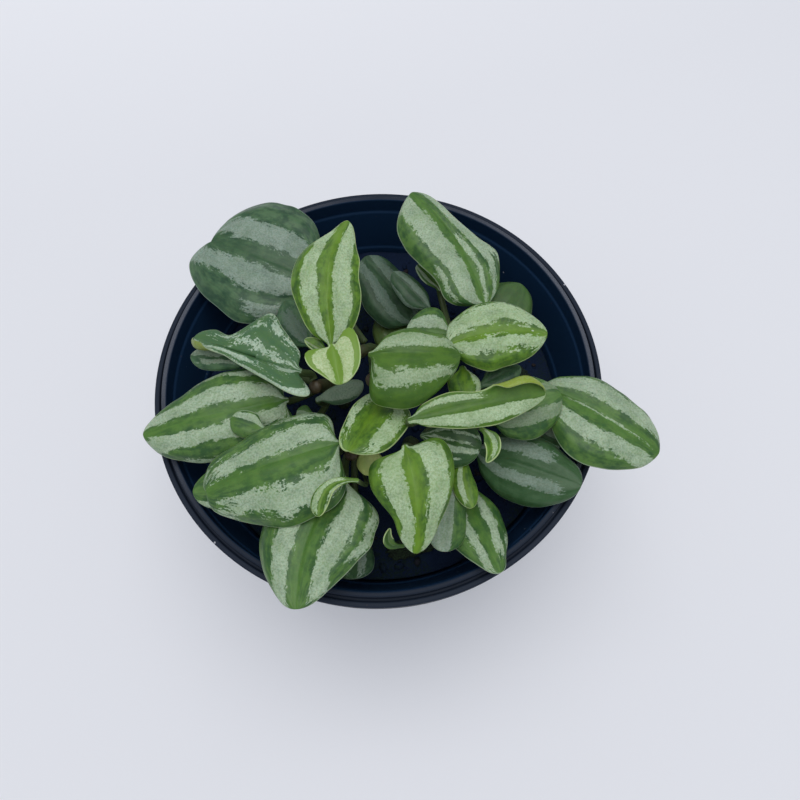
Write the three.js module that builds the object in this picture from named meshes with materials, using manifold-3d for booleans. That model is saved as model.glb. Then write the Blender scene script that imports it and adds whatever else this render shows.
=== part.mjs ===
// A silver-striped peperomia growing in a round plastic nursery pot.
// Millimetres, +Z up. The origin is the middle of the pot's underside.

import * as THREE from 'three';
import { mergeVertices } from 'three/addons/utils/BufferGeometryUtils.js';
import Module from 'manifold-3d';

const wasm = await Module();
wasm.setup();

// ---------------------------------------------------------------- driving dimensions

const GAP = 0.3; // left between pieces that touch

const POT = {
  height: 92,
  baseRadius: 42.5, // outside of the wall at the bottom
  neckRadius: 58.0, // outside of the wall at the top
  rimRadius: 60, // outside of the rolled rim
  wall: 1.3,
  floor: 1.8,
  mouthRadius: 56.4, // inside edge of the rim's flat ring
  faceWidth: 1.3, // the flat ring on top
  grooveWidth: 0.9,
  grooveDepth: 2.6,
  beadDrop: 1.5, // the outer bead lies this far below the flat ring
  skirtDepth: 7.5, // the rim hangs this far down outside
  skirtWall: 1.3,
  webDepth: 2, // plastic left under the groove
  webDrop: 1,
  ledgeDepths: [5, 19], // small steps inside, measured down from the top
  ledgeStep: 0.5,
  foot: 1.0, // bevel round the underside
  sides: 48,
};
const DRAIN = { count: 8, radius: 3.4, ringRadius: 31, sides: 12 };
const SOIL = { level: 71, swell: 0.9, rings: 6, sides: 40 };
const STEM = { sides: 7, rows: 5, taper: [1.12, 0.88], shoulder: 0.96 };
const STALK = { radius: 0.95, widthShare: 0.16, rows: 3 };
const BLADE = { thickness: 0.9, widthShare: 0.11, rows: 12, across: 8, smallRows: 8, smallAcross: 6 };
const STATIONS = [0.1, 0.3, 0.5, 0.7, 0.9]; // where along a blade its half widths are given
const SLICES = 12; // steps across half a blade, a multiple of the facets there
const DOME = [[0.85, 0], [1, 0.4], [0.75, 0.9]]; // a lump's rings: share of its size, share of its height
const SMALL_LEAF = 9; // blades narrower than this have fewer facets
const SHOULDER = 0.09; // where along the blade its shoulders reach back furthest
const LEAST = 0.02; // least half width, as a share of the square root of t (1 - t)

// Colour and roughness of each kind of piece.
const FINISH = {
  plastic: [0x14161a, 0.42],
  soil: [0x17130f, 0.95],
  bark: [0x4a3423, 0.9],
  moss: [0x2c4a26, 0.95],
  stem: [0x8f9a5e, 0.55],
  young: [0x7fa044, 0.42],
  mature: [0x4f7d3c, 0.42],
  old: [0x31573f, 0.45],
};

// ---------------------------------------------------------------- stems
// foot: where it leaves the soil, x and y. top: its upper end.

const STEMS = {
  a: { foot: [0, 11], top: [-6.5, -1.5, 103], radius: 1.7 },
  b: { foot: [-11, -1], top: [-16, -8, 100], radius: 1.9 },
  c: { foot: [-7, -14], top: [-6, -26, 100], radius: 1.9 },
  d: { foot: [0, 1], top: [-1, -9, 106], radius: 1.9 },
  e: { foot: [16, -5], top: [21, -15, 98], radius: 1.9 },
  f: { foot: [8, -16], top: [11, -27.5, 99], radius: 1.9 },
  g: { foot: [17, 8], top: [24, 3, 97], radius: 1.9 },
  h: { foot: [10, 14], top: [10, 12, 84], radius: 1.6 },
};

// Leaves. The first letter of a leaf's name is that of the stem it grows from.
// joins        how far up that stem its stalk leaves it, 0 at the soil and 1 at the top
// base, tip    the two ends of the blade's chord
// left, right  how far each half reaches from the midrib, at the five stations along it
// ends         1 where the base and the tip are round, and less where they are pointed
// lobe         how far its left and right shoulders reach back past the stalk, as shares of its length
// fore         how far they reach forward past the tip
// arch         bow of the midrib out of the chord, as a share of the length
// bend, hook   bow of the midrib to its right, as a share of the length, and its lean to the tip
// roll         degrees that its right edge turns down
// curl         degrees that the edges curl up: left half at base and at tip, right half at base and tip
// valley       degrees that each half rises beside the midrib and falls again at its edge
const LEAVES = [
  { node: 'a1', age: 'young', joins: 0.93, base: [-11, 0.8, 105.6], tip: [-7, 33, 112],
    left: [4.5, 7.6, 9.3, 7.4, 2.1], right: [5.4, 8.3, 8.1, 7.3, 4.2], arch: 0.05, bend: -0.09,
    hook: 0.5, curl: [0, -20, 5, 0], valley: [26, 26] },
  { node: 'a2', age: 'young', joins: 0.98, base: [-9.6, -4.6, 115.6], tip: [-7.6, -13.4, 114.6],
    left: [4.6, 6.2, 6, 5, 3], right: [5.6, 6.6, 5.6, 3.6, 1.8], lobe: [1, 0.3],
    curl: [20, 10, 20, 10], valley: [34, 34] },
  { node: 'a3', age: 'young', joins: 0.82, base: [-12.5, 0.5, 103], tip: [-18, 3.5, 104],
    left: [1, 1.6, 1.7, 1.5, 0.9], right: [1, 1.6, 1.7, 1.5, 0.9], curl: [30, 30, 30, 30] },
  { node: 'a4', age: 'old', joins: 0.6, base: [-14, 25, 93], tip: [-47.4, 38.9, 96],
    left: [9, 15.5, 18.4, 16.8, 10], right: [8.6, 16, 18, 17.6, 12], fore: [0.19, 0.03], arch: 0.09,
    roll: -8, curl: [-14, -16, -14, -16], valley: [16, 16] },
  { node: 'a5', age: 'old', joins: 0.75, base: [-17, 4, 99], tip: [-25, 18, 98],
    left: [3.5, 5.6, 6, 5.2, 3.2], right: [3.5, 5.6, 6, 5.2, 3.2], roll: -10 },
  { node: 'b1', age: 'mature', joins: 0.97, base: [-18.6, -6.5, 107], tip: [-46, 5, 103],
    left: [6.9, 5.5, 3.3, 2, 2.9], right: [5.3, 9.6, 12.8, 4, 3.8], lobe: [0.3, 0.04], bend: -0.02,
    hook: 0, curl: [60, -8, -8, -10], valley: [48, 20] },
  { node: 'b3', age: 'mature', joins: 0.8, base: [-23, -11, 99], tip: [-58, -19, 97],
    left: [7, 10.2, 11.2, 10.1, 6.3], right: [7.2, 11.2, 10.5, 7.7, 4.6], lobe: [0.12, 0.1],
    arch: 0.08, roll: -8 },
  { node: 'b4', age: 'old', joins: 0.85, base: [-32, -0.5, 101], tip: [-48, 1.5, 99],
    left: [2, 3, 3.4, 3.3, 2.4], right: [2.5, 4, 4.5, 4, 2.5], roll: -8 },
  { node: 'b5', age: 'old', joins: 0.7, base: [-14.6, -10.8, 99], tip: [-3.5, -6.7, 99.4],
    left: [1.2, 1.9, 2.2, 2.2, 1.6], right: [1.6, 2.8, 3.2, 3, 2] },
  { node: 'b6', age: 'mature', joins: 0.6, base: [-16.3, -14.2, 96], tip: [-20.3, -13.4, 97.2],
    left: [1.7, 2.6, 2.7, 2.4, 1.5], right: [1.7, 2.6, 2.7, 2.4, 1.5] },
  { node: 'c1', age: 'mature', joins: 0.97, base: [-8.5, -25.2, 108], tip: [-38.7, -34.9, 103],
    left: [10, 13.8, 14.1, 11, 6], right: [8.4, 10, 10, 8.2, 6], lobe: [0.07, 0.1], fore: [0.07, 0.09],
    arch: 0.09, curl: [-30, -34, -28, -30] },
  { node: 'c2', age: 'mature', joins: 0.85, base: [-8, -31.5, 101], tip: [-17, -60.7, 103],
    left: [10.6, 13.2, 12.5, 10.2, 6], right: [7, 11.2, 12, 10.4, 5.9], lobe: [0.045, 0], arch: 0.05,
    bend: 0.08, roll: 8, curl: [-26, -26, -26, -26] },
  { node: 'c3', age: 'young', joins: 0.38, base: [-4, -34, 109.2], tip: [-12, -42, 109.8],
    left: [0.6, 1.2, 1.7, 2.2, 1.8], right: [0.6, 1.1, 1.5, 2, 1.7], ends: [0.6, 1], bend: 0.28,
    curl: [40, 60, 10, -20], valley: [10, 30] },
  { node: 'c4', age: 'old', joins: 0.3, base: [-7, -40.6, 79], tip: [-6, -53, 86],
    left: [3, 4.6, 5, 4.8, 3.4], right: [3, 4.6, 5, 4.8, 3.4] },
  { node: 'c5', age: 'mature', joins: 0.75, base: [-17, -29, 94.9], tip: [-44.6, -33.2, 95.5],
    left: [5, 8, 8.4, 7.4, 4.5], right: [5, 8, 8.4, 7.4, 4.5], roll: -8 },
  { node: 'c6', age: 'mature', joins: 0.85, base: [-27, -20, 103], tip: [-35, -17, 102.6],
    left: [2, 3, 3.2, 2.9, 2], right: [2, 3, 3.2, 2.9, 2], curl: [-30, -60, 20, 10] },
  { node: 'c7', age: 'young', joins: 0.88, base: [-0.7, -24, 100.5], tip: [-2.9, -29.9, 97.7],
    left: [2.7, 3.4, 3.6, 3.4, 2.4], right: [2.6, 3.3, 3.5, 3.4, 2.5], curl: [-50, -60, -50, -60],
    valley: [0, 0] },
  { node: 'd1', age: 'young', joins: 0.98, base: [-0.5, -6.2, 115], tip: [19.6, -5.6, 113],
    left: [4.6, 7.2, 7.6, 6.4, 5.3], right: [9, 12, 11, 8.6, 4.4], lobe: [0.02, 0.18], arch: 0.135,
    bend: 0.04, curl: [-36, -36, -40, -50], valley: [26, 26] },
  { node: 'd2', age: 'young', joins: 0.95, base: [2.8, -11, 102.4], tip: [-5.9, -27.6, 110],
    left: [5.4, 8.2, 8.8, 8.2, 5.6], right: [3.2, 4.7, 4.9, 4.4, 3], fore: [0, 0.05],
    curl: [20, 5, 20, 5] },
  { node: 'e1', age: 'young', joins: 0.97, base: [8.2, -20.8, 111], tip: [39.2, -14.2, 110],
    left: [2.9, 4.3, 3.2, 3.4, 3.6], right: [2.3, 4.2, 5, 4.6, 2.6], curl: [20, 30, -10, -25],
    valley: [24, 18] },
  { node: 'e2', age: 'mature', joins: 0.8, base: [41, -7.5, 97], tip: [69, -25.2, 97],
    left: [6.6, 10.6, 11.4, 10.4, 7], right: [5, 10.5, 12.5, 11.2, 6.9], arch: 0.07, roll: -8,
    curl: [-24, -24, -26, -26] },
  { node: 'e3', age: 'mature', joins: 0.95, base: [27, -16.5, 100.3], tip: [45, -11.5, 102.5],
    left: [4.5, 6.9, 7.3, 6.6, 4.4], right: [4.9, 7.7, 8.1, 7.3, 4.9], roll: 6 },
  { node: 'e4', age: 'old', joins: 0.7, base: [25, -22, 90.3], tip: [49, -33, 96.9],
    left: [5, 8.2, 8.4, 7.1, 5], right: [4.7, 8.4, 9.3, 8.3, 4.8], roll: 10 },
  { node: 'e5', age: 'mature', joins: 0.9, base: [11.5, -20.6, 99], tip: [25, -24.2, 100.8],
    left: [3, 4.8, 5.2, 4.9, 3.4], right: [3.8, 6.1, 6.5, 5.8, 3.7], roll: 8,
    curl: [-30, -30, -40, -40] },
  { node: 'e6', age: 'young', joins: 0.97, base: [24.4, -21.8, 107.5], tip: [25.2, -29.4, 106],
    left: [1.3, 1.9, 1.9, 1.6, 0.9], right: [1.3, 1.9, 1.9, 1.6, 0.9], bend: -0.26,
    curl: [30, 40, 30, 40], valley: [10, 10] },
  { node: 'e7', age: 'old', joins: 0.9, base: [26.5, -7, 98], tip: [36.5, -2.5, 99],
    left: [1.9, 3.1, 3.2, 2.8, 1.7], right: [1.9, 3.1, 3.2, 2.8, 1.7] },
  { node: 'e8', age: 'young', joins: 0.95, base: [21.6, -3.6, 100.5], tip: [22.1, -12.4, 101.6],
    left: [2.9, 4, 4.1, 3.9, 2.8], right: [2.9, 4, 4.1, 3.9, 2.8] },
  { node: 'e9', age: 'old', joins: 0.6, base: [37, -16, 90], tip: [47, -21, 91],
    left: [2.7, 4.2, 4.5, 3.9, 2.4], right: [2.7, 4.2, 4.5, 3.9, 2.4] },
  { node: 'f1', age: 'young', joins: 0.98, base: [6.8, -28.2, 113.5], tip: [8.6, -49.6, 108],
    left: [7.4, 9.3, 7.3, 4.8, 2.9], right: [7.4, 9.4, 7.8, 4.6, 2.9], lobe: [0.2, 0.12], arch: 0.1,
    bend: -0.05, curl: [-30, -40, -30, -40], valley: [36, 36] },
  { node: 'f2', age: 'young', joins: 0.34, base: [6, -47.4, 102.6], tip: [3.2, -43.6, 103.6],
    left: [0.8, 1.25, 1.35, 1.1, 0.6], right: [0.8, 1.25, 1.35, 1.1, 0.6], bend: -0.42,
    curl: [30, 30, 30, 30] },
  { node: 'f3', age: 'mature', joins: 0.73, base: [17.7, -28, 95], tip: [15, -48, 96.8],
    left: [3, 5, 5.2, 5.2, 4], right: [3.9, 5.4, 5.2, 4.4, 3], roll: -6 },
  { node: 'f4', age: 'mature', joins: 0.56, base: [20, -30, 87], tip: [28, -53, 96.9],
    left: [4.5, 7.4, 7.5, 5.9, 3], right: [4, 7, 7.6, 6, 3], roll: -8 },
  { node: 'f5', age: 'young', joins: 0.84, base: [21.4, -25.8, 96.6], tip: [22.5, -38.2, 97.9],
    left: [1.2, 2, 2.7, 2.7, 1.9], right: [1.4, 2.4, 2.8, 2.5, 1.6], bend: 0.09 },
  { node: 'g1', age: 'young', joins: 0.97, base: [17, 0, 106], tip: [42, 2.4, 107],
    left: [5.6, 8.5, 9.6, 8.3, 4.1], right: [5.3, 8.6, 8.7, 7.6, 5.1], bend: -0.08,
    curl: [-26, -28, -26, -34], valley: [24, 24] },
  { node: 'g2', age: 'mature', joins: 0.85, base: [29, 16, 97], tip: [9.4, 46.8, 106],
    left: [8.2, 9.9, 11.5, 11.9, 8.6], right: [6.5, 10.4, 7.4, 4.8, 3.8], arch: 0.06, bend: 0.05,
    roll: 10, curl: [-24, -28, -28, -30] },
  { node: 'g3', age: 'mature', joins: 0.8, base: [31.6, 15, 86.7], tip: [41.2, 29.2, 87.5],
    left: [5, 8, 9, 9, 6], right: [4.8, 7.1, 7.5, 6.7, 4.5], roll: -10 },
  { node: 'g4', age: 'mature', joins: 0.9, base: [19.5, 8, 97], tip: [7.5, 9.5, 96],
    left: [3.1, 4.9, 5.2, 4.5, 2.8], right: [4.6, 7.3, 7.7, 6.8, 4.2], roll: -8 },
  { node: 'g5', age: 'mature', joins: 0.7, base: [17, 24, 94], tip: [11, 31, 95],
    left: [1.7, 2.6, 2.8, 2.4, 1.5], right: [1.7, 2.6, 2.8, 2.4, 1.5], curl: [50, 60, 30, 40] },
  { node: 'h1', age: 'old', joins: 0.8, base: [10, 18, 84], tip: [-4, 36, 92],
    left: [6, 8.6, 8.8, 7.4, 5], right: [6, 8, 8.5, 7.8, 5.6], roll: 12 },
  { node: 'h2', age: 'old', joins: 0.95, base: [14, 18, 93], tip: [4, 28, 96],
    left: [2.2, 3.5, 3.7, 3.3, 2.2], right: [2.2, 3.5, 3.7, 3.3, 2.2] },
  { node: 'h3', age: 'old', joins: 0.6, base: [5.2, 10.9, 80.6], tip: [1.6, 23, 83.1],
    left: [3.5, 5.4, 5.6, 5, 3.2], right: [3.5, 5.4, 5.6, 5, 3.2] },
];
const LEAF_DEFAULTS = {
  ends: [1, 1], lobe: [0, 0], fore: [0, 0], arch: 0.03, bend: 0, hook: 0, roll: 0,
  curl: [-32, -34, -32, -34], valley: [27, 27],
};

// Bits of bark and moss that lie on the soil: centre, size along and across, height, turn in degrees.
const LITTER = {
  bark_1: { finish: 'bark', at: [-43, -14], size: [6, 4], height: 2.2, turn: 20 },
  bark_2: { finish: 'bark', at: [-33, -32], size: [7, 4.5], height: 2.0, turn: 70 },
  bark_3: { finish: 'bark', at: [43, 17], size: [7, 4], height: 2.4, turn: -35 },
  moss_1: { finish: 'moss', at: [41, 6], size: [9, 7], height: 1.8, turn: 10 },
  moss_2: { finish: 'moss', at: [8, -44], size: [14, 5], height: 1.6, turn: 8 },
};

// ---------------------------------------------------------------- helpers

const radians = (degrees) => (degrees * Math.PI) / 180;
const mix = (a, b, t) => a + (b - a) * t;
const vector = (p) => new THREE.Vector3(p[0], p[1], p[2]);
const sum = (origin, ...terms) =>
  terms.reduce((p, [direction, amount]) => p.addScaledVector(direction, amount), origin.clone());

/** A closed mesh through rings of equal length, from a point at one end to a point at the other. */
function tubeGeometry(start, rings, end) {
  const count = rings[0].length;
  const points = [start, ...rings.flat(), end];
  const last = points.length - 1;
  const tail = last - count;
  const faces = [];
  for (let j = 0; j < count; j += 1) {
    const next = (j + 1) % count;
    faces.push(0, 1 + next, 1 + j);
    for (let i = 0; i < rings.length - 1; i += 1) {
      const a = 1 + i * count + j;
      const b = 1 + i * count + next;
      faces.push(a, b, b + count, a, b + count, a + count);
    }
    faces.push(tail + j, tail + next, last);
  }
  const geometry = new THREE.BufferGeometry();
  const numbers = new Float32Array(points.flatMap((p) => p.toArray()));
  geometry.setAttribute('position', new THREE.BufferAttribute(numbers, 3));
  geometry.setIndex(faces);
  return geometry;
}

/** The solid that a closed three.js geometry bounds. Triangles that have shrunk to a line are dropped. */
function solidOf(geometry) {
  const bare = geometry.clone();
  bare.deleteAttribute('normal');
  bare.deleteAttribute('uv');
  const merged = mergeVertices(bare, 1e-4);
  const index = merged.index.array;
  const kept = [];
  for (let i = 0; i < index.length; i += 3) {
    const [a, b, c] = index.slice(i, i + 3);
    if (a !== b && b !== c && c !== a) kept.push(a, b, c);
  }
  return new wasm.Manifold(new wasm.Mesh({
    numProp: 3,
    vertProperties: new Float32Array(merged.getAttribute('position').array),
    triVerts: new Uint32Array(kept),
  }));
}

/** A three.js geometry of a solid. */
function geometryOf(solid) {
  const mesh = solid.getMesh();
  const geometry = new THREE.BufferGeometry();
  geometry.setAttribute('position', new THREE.BufferAttribute(mesh.vertProperties, 3));
  geometry.setIndex(new THREE.BufferAttribute(mesh.triVerts, 1));
  return geometry;
}

// ---------------------------------------------------------------- pot

/** Inside radius of the pot's wall at a height. The wall thickens by a step under each ledge. */
function potInside(z) {
  const depth = POT.height - z;
  const outside = mix(POT.baseRadius, POT.neckRadius, z / POT.height);
  const steps = POT.ledgeDepths.filter((ledge) => depth > ledge).length;
  return outside - POT.wall + POT.ledgeStep * (1 - steps);
}

function potGeometry() {
  const top = POT.height;
  const faceEdge = POT.mouthRadius + POT.faceWidth;
  const grooveEdge = faceEdge + POT.grooveWidth;
  const beadTop = top - POT.beadDrop;
  const skirtFoot = top - POT.skirtDepth;
  const web = top - POT.grooveDepth - POT.webDepth; // where wall and rim join, from below
  const round = 0.35; // rounding of the rim's edges
  const hair = 0.01; // either side of a ledge
  const wallAt = (z) => mix(POT.baseRadius, POT.neckRadius, z / top);
  const profile = [
    [0, 0],
    [POT.baseRadius - POT.foot, 0],
    [wallAt(POT.foot), POT.foot],
    [wallAt(web - POT.webDrop), web - POT.webDrop],
    [POT.rimRadius - POT.skirtWall, web],
    [POT.rimRadius - POT.skirtWall, skirtFoot],
    [POT.rimRadius - round, skirtFoot],
    [POT.rimRadius, skirtFoot + round],
    [POT.rimRadius, beadTop - round * 2],
    [POT.rimRadius - round * 2, beadTop],
    [grooveEdge + round, beadTop],
    [grooveEdge, beadTop - round],
    [grooveEdge, top - POT.grooveDepth],
    [faceEdge, top - POT.grooveDepth],
    [faceEdge, top - round],
    [faceEdge - round, top],
    [POT.mouthRadius + round, top],
    [POT.mouthRadius, top - round],
    ...POT.ledgeDepths.flatMap((depth) => [
      [potInside(top - depth + hair), top - depth],
      [potInside(top - depth - hair), top - depth - POT.ledgeStep],
    ]),
    [potInside(POT.floor), POT.floor],
    [0, POT.floor],
  ];
  const points = profile.map(([radius, z]) => new THREE.Vector2(radius, z));
  const shell = new THREE.LatheGeometry(points, POT.sides).rotateX(Math.PI / 2);
  let solid = solidOf(shell);
  for (let k = 0; k < DRAIN.count; k += 1) {
    const angle = ((k + 0.5) / DRAIN.count) * 2 * Math.PI;
    const hole = new THREE.CylinderGeometry(DRAIN.radius, DRAIN.radius, 4 * POT.floor, DRAIN.sides)
      .rotateX(Math.PI / 2)
      .translate(DRAIN.ringRadius * Math.cos(angle), DRAIN.ringRadius * Math.sin(angle), 0);
    solid = solid.subtract(solidOf(hole));
  }
  return geometryOf(solid);
}

// ---------------------------------------------------------------- soil and what lies on it

/** Height of the soil's surface: a few slow swells. */
function soilHeight(x, y) {
  const swells = Math.sin(x / 8 + 1) * Math.cos(y / 9) + 0.5 * Math.sin((x - y) / 13);
  return SOIL.level + (SOIL.swell * swells) / 1.5;
}

function soilGeometry() {
  const ring = (radius, heightAt) => Array.from({ length: SOIL.sides }, (_, j) => {
    const angle = (j / SOIL.sides) * 2 * Math.PI;
    const x = radius * Math.cos(angle);
    const y = radius * Math.sin(angle);
    return new THREE.Vector3(x, y, heightAt(x, y));
  });
  const bottom = POT.floor + GAP;
  const facet = Math.cos(Math.PI / POT.sides); // the pot's flats lie this far in
  const topRadius = potInside(SOIL.level - SOIL.swell) * facet - GAP;
  const rings = [ring(potInside(bottom) * facet - GAP, () => bottom)];
  for (let i = SOIL.rings; i > 0; i -= 1) rings.push(ring((topRadius * i) / SOIL.rings, soilHeight));
  return tubeGeometry(new THREE.Vector3(0, 0, bottom), rings, vector([0, 0, soilHeight(0, 0)]));
}

/** Highest soil within a radius of a point. */
function soilUnder(x, y, radius) {
  const around = [0, 1, 2, 3, 4, 5, 6, 7].map((k) => (k * Math.PI) / 4);
  return Math.max(soilHeight(x, y),
    ...around.map((a) => soilHeight(x + radius * Math.cos(a), y + radius * Math.sin(a))));
}

/** A low lump that lies on the soil: a flattened dome with an uneven outline. */
function litterGeometry(bit) {
  const [x, y] = bit.at;
  const floor = soilUnder(x, y, bit.size[0] / 2) + GAP;
  const turn = radians(bit.turn);
  const sides = 9;
  const ring = (share, height) => Array.from({ length: sides }, (_, j) => {
    const angle = (j / sides) * 2 * Math.PI;
    const uneven = 1 + 0.12 * Math.sin(3 * angle + bit.turn);
    const along = (bit.size[0] / 2) * share * uneven * Math.cos(angle);
    const across = (bit.size[1] / 2) * share * uneven * Math.sin(angle);
    return new THREE.Vector3(
      x + along * Math.cos(turn) - across * Math.sin(turn),
      y + along * Math.sin(turn) + across * Math.cos(turn),
      floor + height,
    );
  });
  const rings = DOME.map(([share, height]) => ring(share, bit.height * height));
  return tubeGeometry(vector([x, y, floor]), rings, vector([x, y, floor + bit.height]));
}

// ---------------------------------------------------------------- stems

function stemCurve(stem) {
  const [x, y] = stem.foot;
  const foot = vector([x, y, soilUnder(x, y, stem.radius) + GAP]);
  const top = vector(stem.top);
  const middle = vector([x, y, mix(foot.z, top.z, 0.6)]);
  return new THREE.QuadraticBezierCurve3(foot, middle, top);
}

/** Two directions square to a line, for drawing rings round it. */
function crossAxes(along) {
  const right = new THREE.Vector3(1, 0, 0).addScaledVector(along, -along.x).normalize();
  return [right, along.clone().cross(right)];
}

function stemGeometry(stem) {
  const curve = stemCurve(stem);
  const rings = [];
  for (let i = 0; i < STEM.rows; i += 1) {
    const u = (i / (STEM.rows - 1)) * STEM.shoulder;
    const centre = curve.getPoint(u);
    const along = i === 0 ? new THREE.Vector3(0, 0, 1) : curve.getTangent(u);
    const [right, up] = crossAxes(along);
    const radius = stem.radius * mix(...STEM.taper, u);
    rings.push(Array.from({ length: STEM.sides }, (_, j) => {
      const angle = (j / STEM.sides) * 2 * Math.PI;
      return sum(centre, [right, radius * Math.cos(angle)], [up, radius * Math.sin(angle)]);
    }));
  }
  return tubeGeometry(curve.getPoint(0), rings, curve.getPoint(1));
}

// ---------------------------------------------------------------- leaves

/** The blade's length, chord, face and right-hand direction. */
function bladeAxes(leaf) {
  const chord = vector(leaf.tip).sub(vector(leaf.base));
  const length = chord.length();
  const along = chord.normalize();
  const up = new THREE.Vector3(0, 0, 1).addScaledVector(along, -along.z).normalize();
  const side = along.clone().cross(up);
  const turn = radians(leaf.roll);
  const face = up.multiplyScalar(Math.cos(turn)).addScaledVector(side, Math.sin(turn));
  return { length, along, face, right: along.clone().cross(face) };
}

/** The midrib at t, 0 at the base and 1 at the tip: a chord with a bow out of it and a bow sideways. */
function midrib(leaf, t) {
  const { length, along, face, right } = bladeAxes(leaf);
  const bow = 4 * t * (1 - t);
  return sum(vector(leaf.base), [along, length * t],
    [face, length * leaf.arch * bow],
    [right, length * leaf.bend * bow * (1 + leaf.hook * (2 * t - 1))]);
}

/** Place and directions of the blade's cross-section at t, square to the midrib. */
function section(leaf, t) {
  const step = 0.005;
  const along = midrib(leaf, t + step).sub(midrib(leaf, t - step)).normalize();
  const { face } = bladeAxes(leaf);
  face.addScaledVector(along, -face.dot(along)).normalize();
  return { centre: midrib(leaf, t), along, face, right: along.clone().cross(face) };
}

/** Widest part of the blade, half way along it. */
const breadth = (leaf) => leaf.left[2] + leaf.right[2];

/**
 * Half width of one half at t. Its widths at the stations, each divided by sqrt(t (1 - t)), are
 * joined by a smooth curve, and that is multiplied by sqrt(t (1 - t)) again, so both ends are round.
 */
function halfWidth(leaf, t, side) {
  const widths = side < 0 ? leaf.left : leaf.right;
  const ratio = widths.map((width, i) => width / Math.sqrt(STATIONS[i] * (1 - STATIONS[i])));
  ratio.unshift(ratio[0] * leaf.ends[0]);
  ratio.push(ratio.at(-1) * leaf.ends[1]);
  const knots = [0, ...STATIONS, 1];
  const slope = ratio.map((_, i) => {
    const before = Math.max(i - 1, 0);
    const after = Math.min(i + 1, knots.length - 1);
    return (ratio[after] - ratio[before]) / (knots[after] - knots[before]);
  });
  const slot = Math.max(knots.findIndex((knot) => knot >= t) - 1, 0);
  const gap = knots[slot + 1] - knots[slot];
  const s = (t - knots[slot]) / gap;
  const ahead = s * s * (3 - 2 * s);
  const turn = s * (1 - s) * gap * mix(slope[slot], -slope[slot + 1], s);
  return Math.max(mix(ratio[slot], ratio[slot + 1], ahead) + turn, LEAST) * Math.sqrt(t * (1 - t));
}

/** A hump that starts steeply at 0, is 1 at x = 1 and is gone by 5. */
function bump(x) {
  const y = x ** 0.75;
  return Math.sqrt(y) * Math.exp((1 - y * y) / 4);
}

/**
 * Half a blade's cross-section at t, for a half that reaches one unit outwards. Its heading is
 * its curl times the share of the way across, plus valley (1 - 2 share); short steps are added up.
 */
function halfCurve(leaf, t, share, side) {
  const curl = side < 0 ? mix(leaf.curl[0], leaf.curl[1], t) : mix(leaf.curl[2], leaf.curl[3], t);
  const valley = leaf.valley[side < 0 ? 0 : 1];
  const heading = (s) => radians(curl * s + valley * (1 - 2 * s));
  const stop = Math.round(share * SLICES);
  let out = 0;
  let lift = 0;
  let reach = 0;
  const found = { out: 0, lift: 0 };
  for (let i = 1; i <= SLICES; i += 1) {
    out += Math.cos(heading((i - 0.5) / SLICES));
    lift += Math.sin(heading((i - 0.5) / SLICES));
    reach = Math.max(reach, out);
    if (i === stop) Object.assign(found, { out, lift });
  }
  return { out: found.out / reach, lift: found.lift / reach, angle: heading(share) };
}

/** A point of the blade at t along and v across (-1 left edge, 1 right edge), raised off its middle. */
function bladePoint(leaf, t, v, raised) {
  const { centre, along, face, right } = section(leaf, t);
  const { length } = bladeAxes(leaf);
  const side = v < 0 ? -1 : 1;
  const hand = v < 0 ? 0 : 1;
  const half = halfWidth(leaf, t, side);
  const { out, lift, angle } = halfCurve(leaf, t, Math.abs(v), side);
  const slide = leaf.fore[hand] * bump((1 - t) / SHOULDER) - leaf.lobe[hand] * bump(t / SHOULDER);
  return sum(centre, [along, slide * length * Math.abs(v) ** 1.5],
    [right, side * (half * out - raised * Math.sin(angle))],
    [face, half * lift + raised * Math.cos(angle)]);
}

/** The stalk's line, from the side of the stem to the base of the blade. */
function stalkCurve(leaf) {
  const stem = STEMS[leaf.node[0]];
  const axis = stemCurve(stem);
  const root = axis.getPoint(leaf.joins);
  const upStem = axis.getTangent(leaf.joins);
  const base = vector(leaf.base);
  const out = base.clone().sub(root);
  out.addScaledVector(upStem, -out.dot(upStem)).normalize();
  const start = root.addScaledVector(out, stem.radius * mix(...STEM.taper, leaf.joins) + GAP);
  const reach = start.distanceTo(base) / 3;
  const { along } = section(leaf, 0.01);
  return new THREE.CubicBezierCurve3(start, sum(start, [out, reach]), sum(base, [along, -reach]), base);
}

/** A leaf is one body: a round stalk that widens into the blade. */
function leafGeometry(leaf) {
  const small = breadth(leaf) < SMALL_LEAF;
  const across = small ? BLADE.smallAcross : BLADE.across;
  const rows = small ? BLADE.smallRows : BLADE.rows;
  const thick = Math.min(BLADE.thickness, breadth(leaf) * BLADE.widthShare);
  const stalk = stalkCurve(leaf);
  const sides = 2 * across;
  const radius = Math.min(STALK.radius, breadth(leaf) * STALK.widthShare);

  // The stalk's rings follow it down from the blade, turning no more than it does.
  const rings = [];
  let { face } = section(leaf, 0.01);
  for (let i = STALK.rows; i >= 0; i -= 1) {
    const u = i === 0 ? 0.02 : i / STALK.rows;
    const along = stalk.getTangent(u);
    face = face.clone().addScaledVector(along, -face.dot(along)).normalize();
    const right = along.clone().cross(face);
    const centre = stalk.getPoint(u);
    rings.unshift(Array.from({ length: sides }, (_, j) => {
      const angle = Math.PI * (1 - j / across);
      return sum(centre, [right, radius * Math.cos(angle)], [face, radius * Math.sin(angle)]);
    }));
  }

  for (let i = 1; i < rows; i += 1) {
    const t = (1 - Math.cos((Math.PI * i) / rows)) / 2;
    rings.push(Array.from({ length: sides }, (_, j) => {
      const v = j <= across ? (2 * j) / across - 1 : 3 - (2 * j) / across;
      const raised = (j < across ? 1 : -1) * (thick / 2) * (1 - v * v);
      return bladePoint(leaf, t, v, raised);
    }));
  }
  return tubeGeometry(stalk.getPoint(0), rings, midrib(leaf, 1));
}

// ---------------------------------------------------------------- assembly

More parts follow.
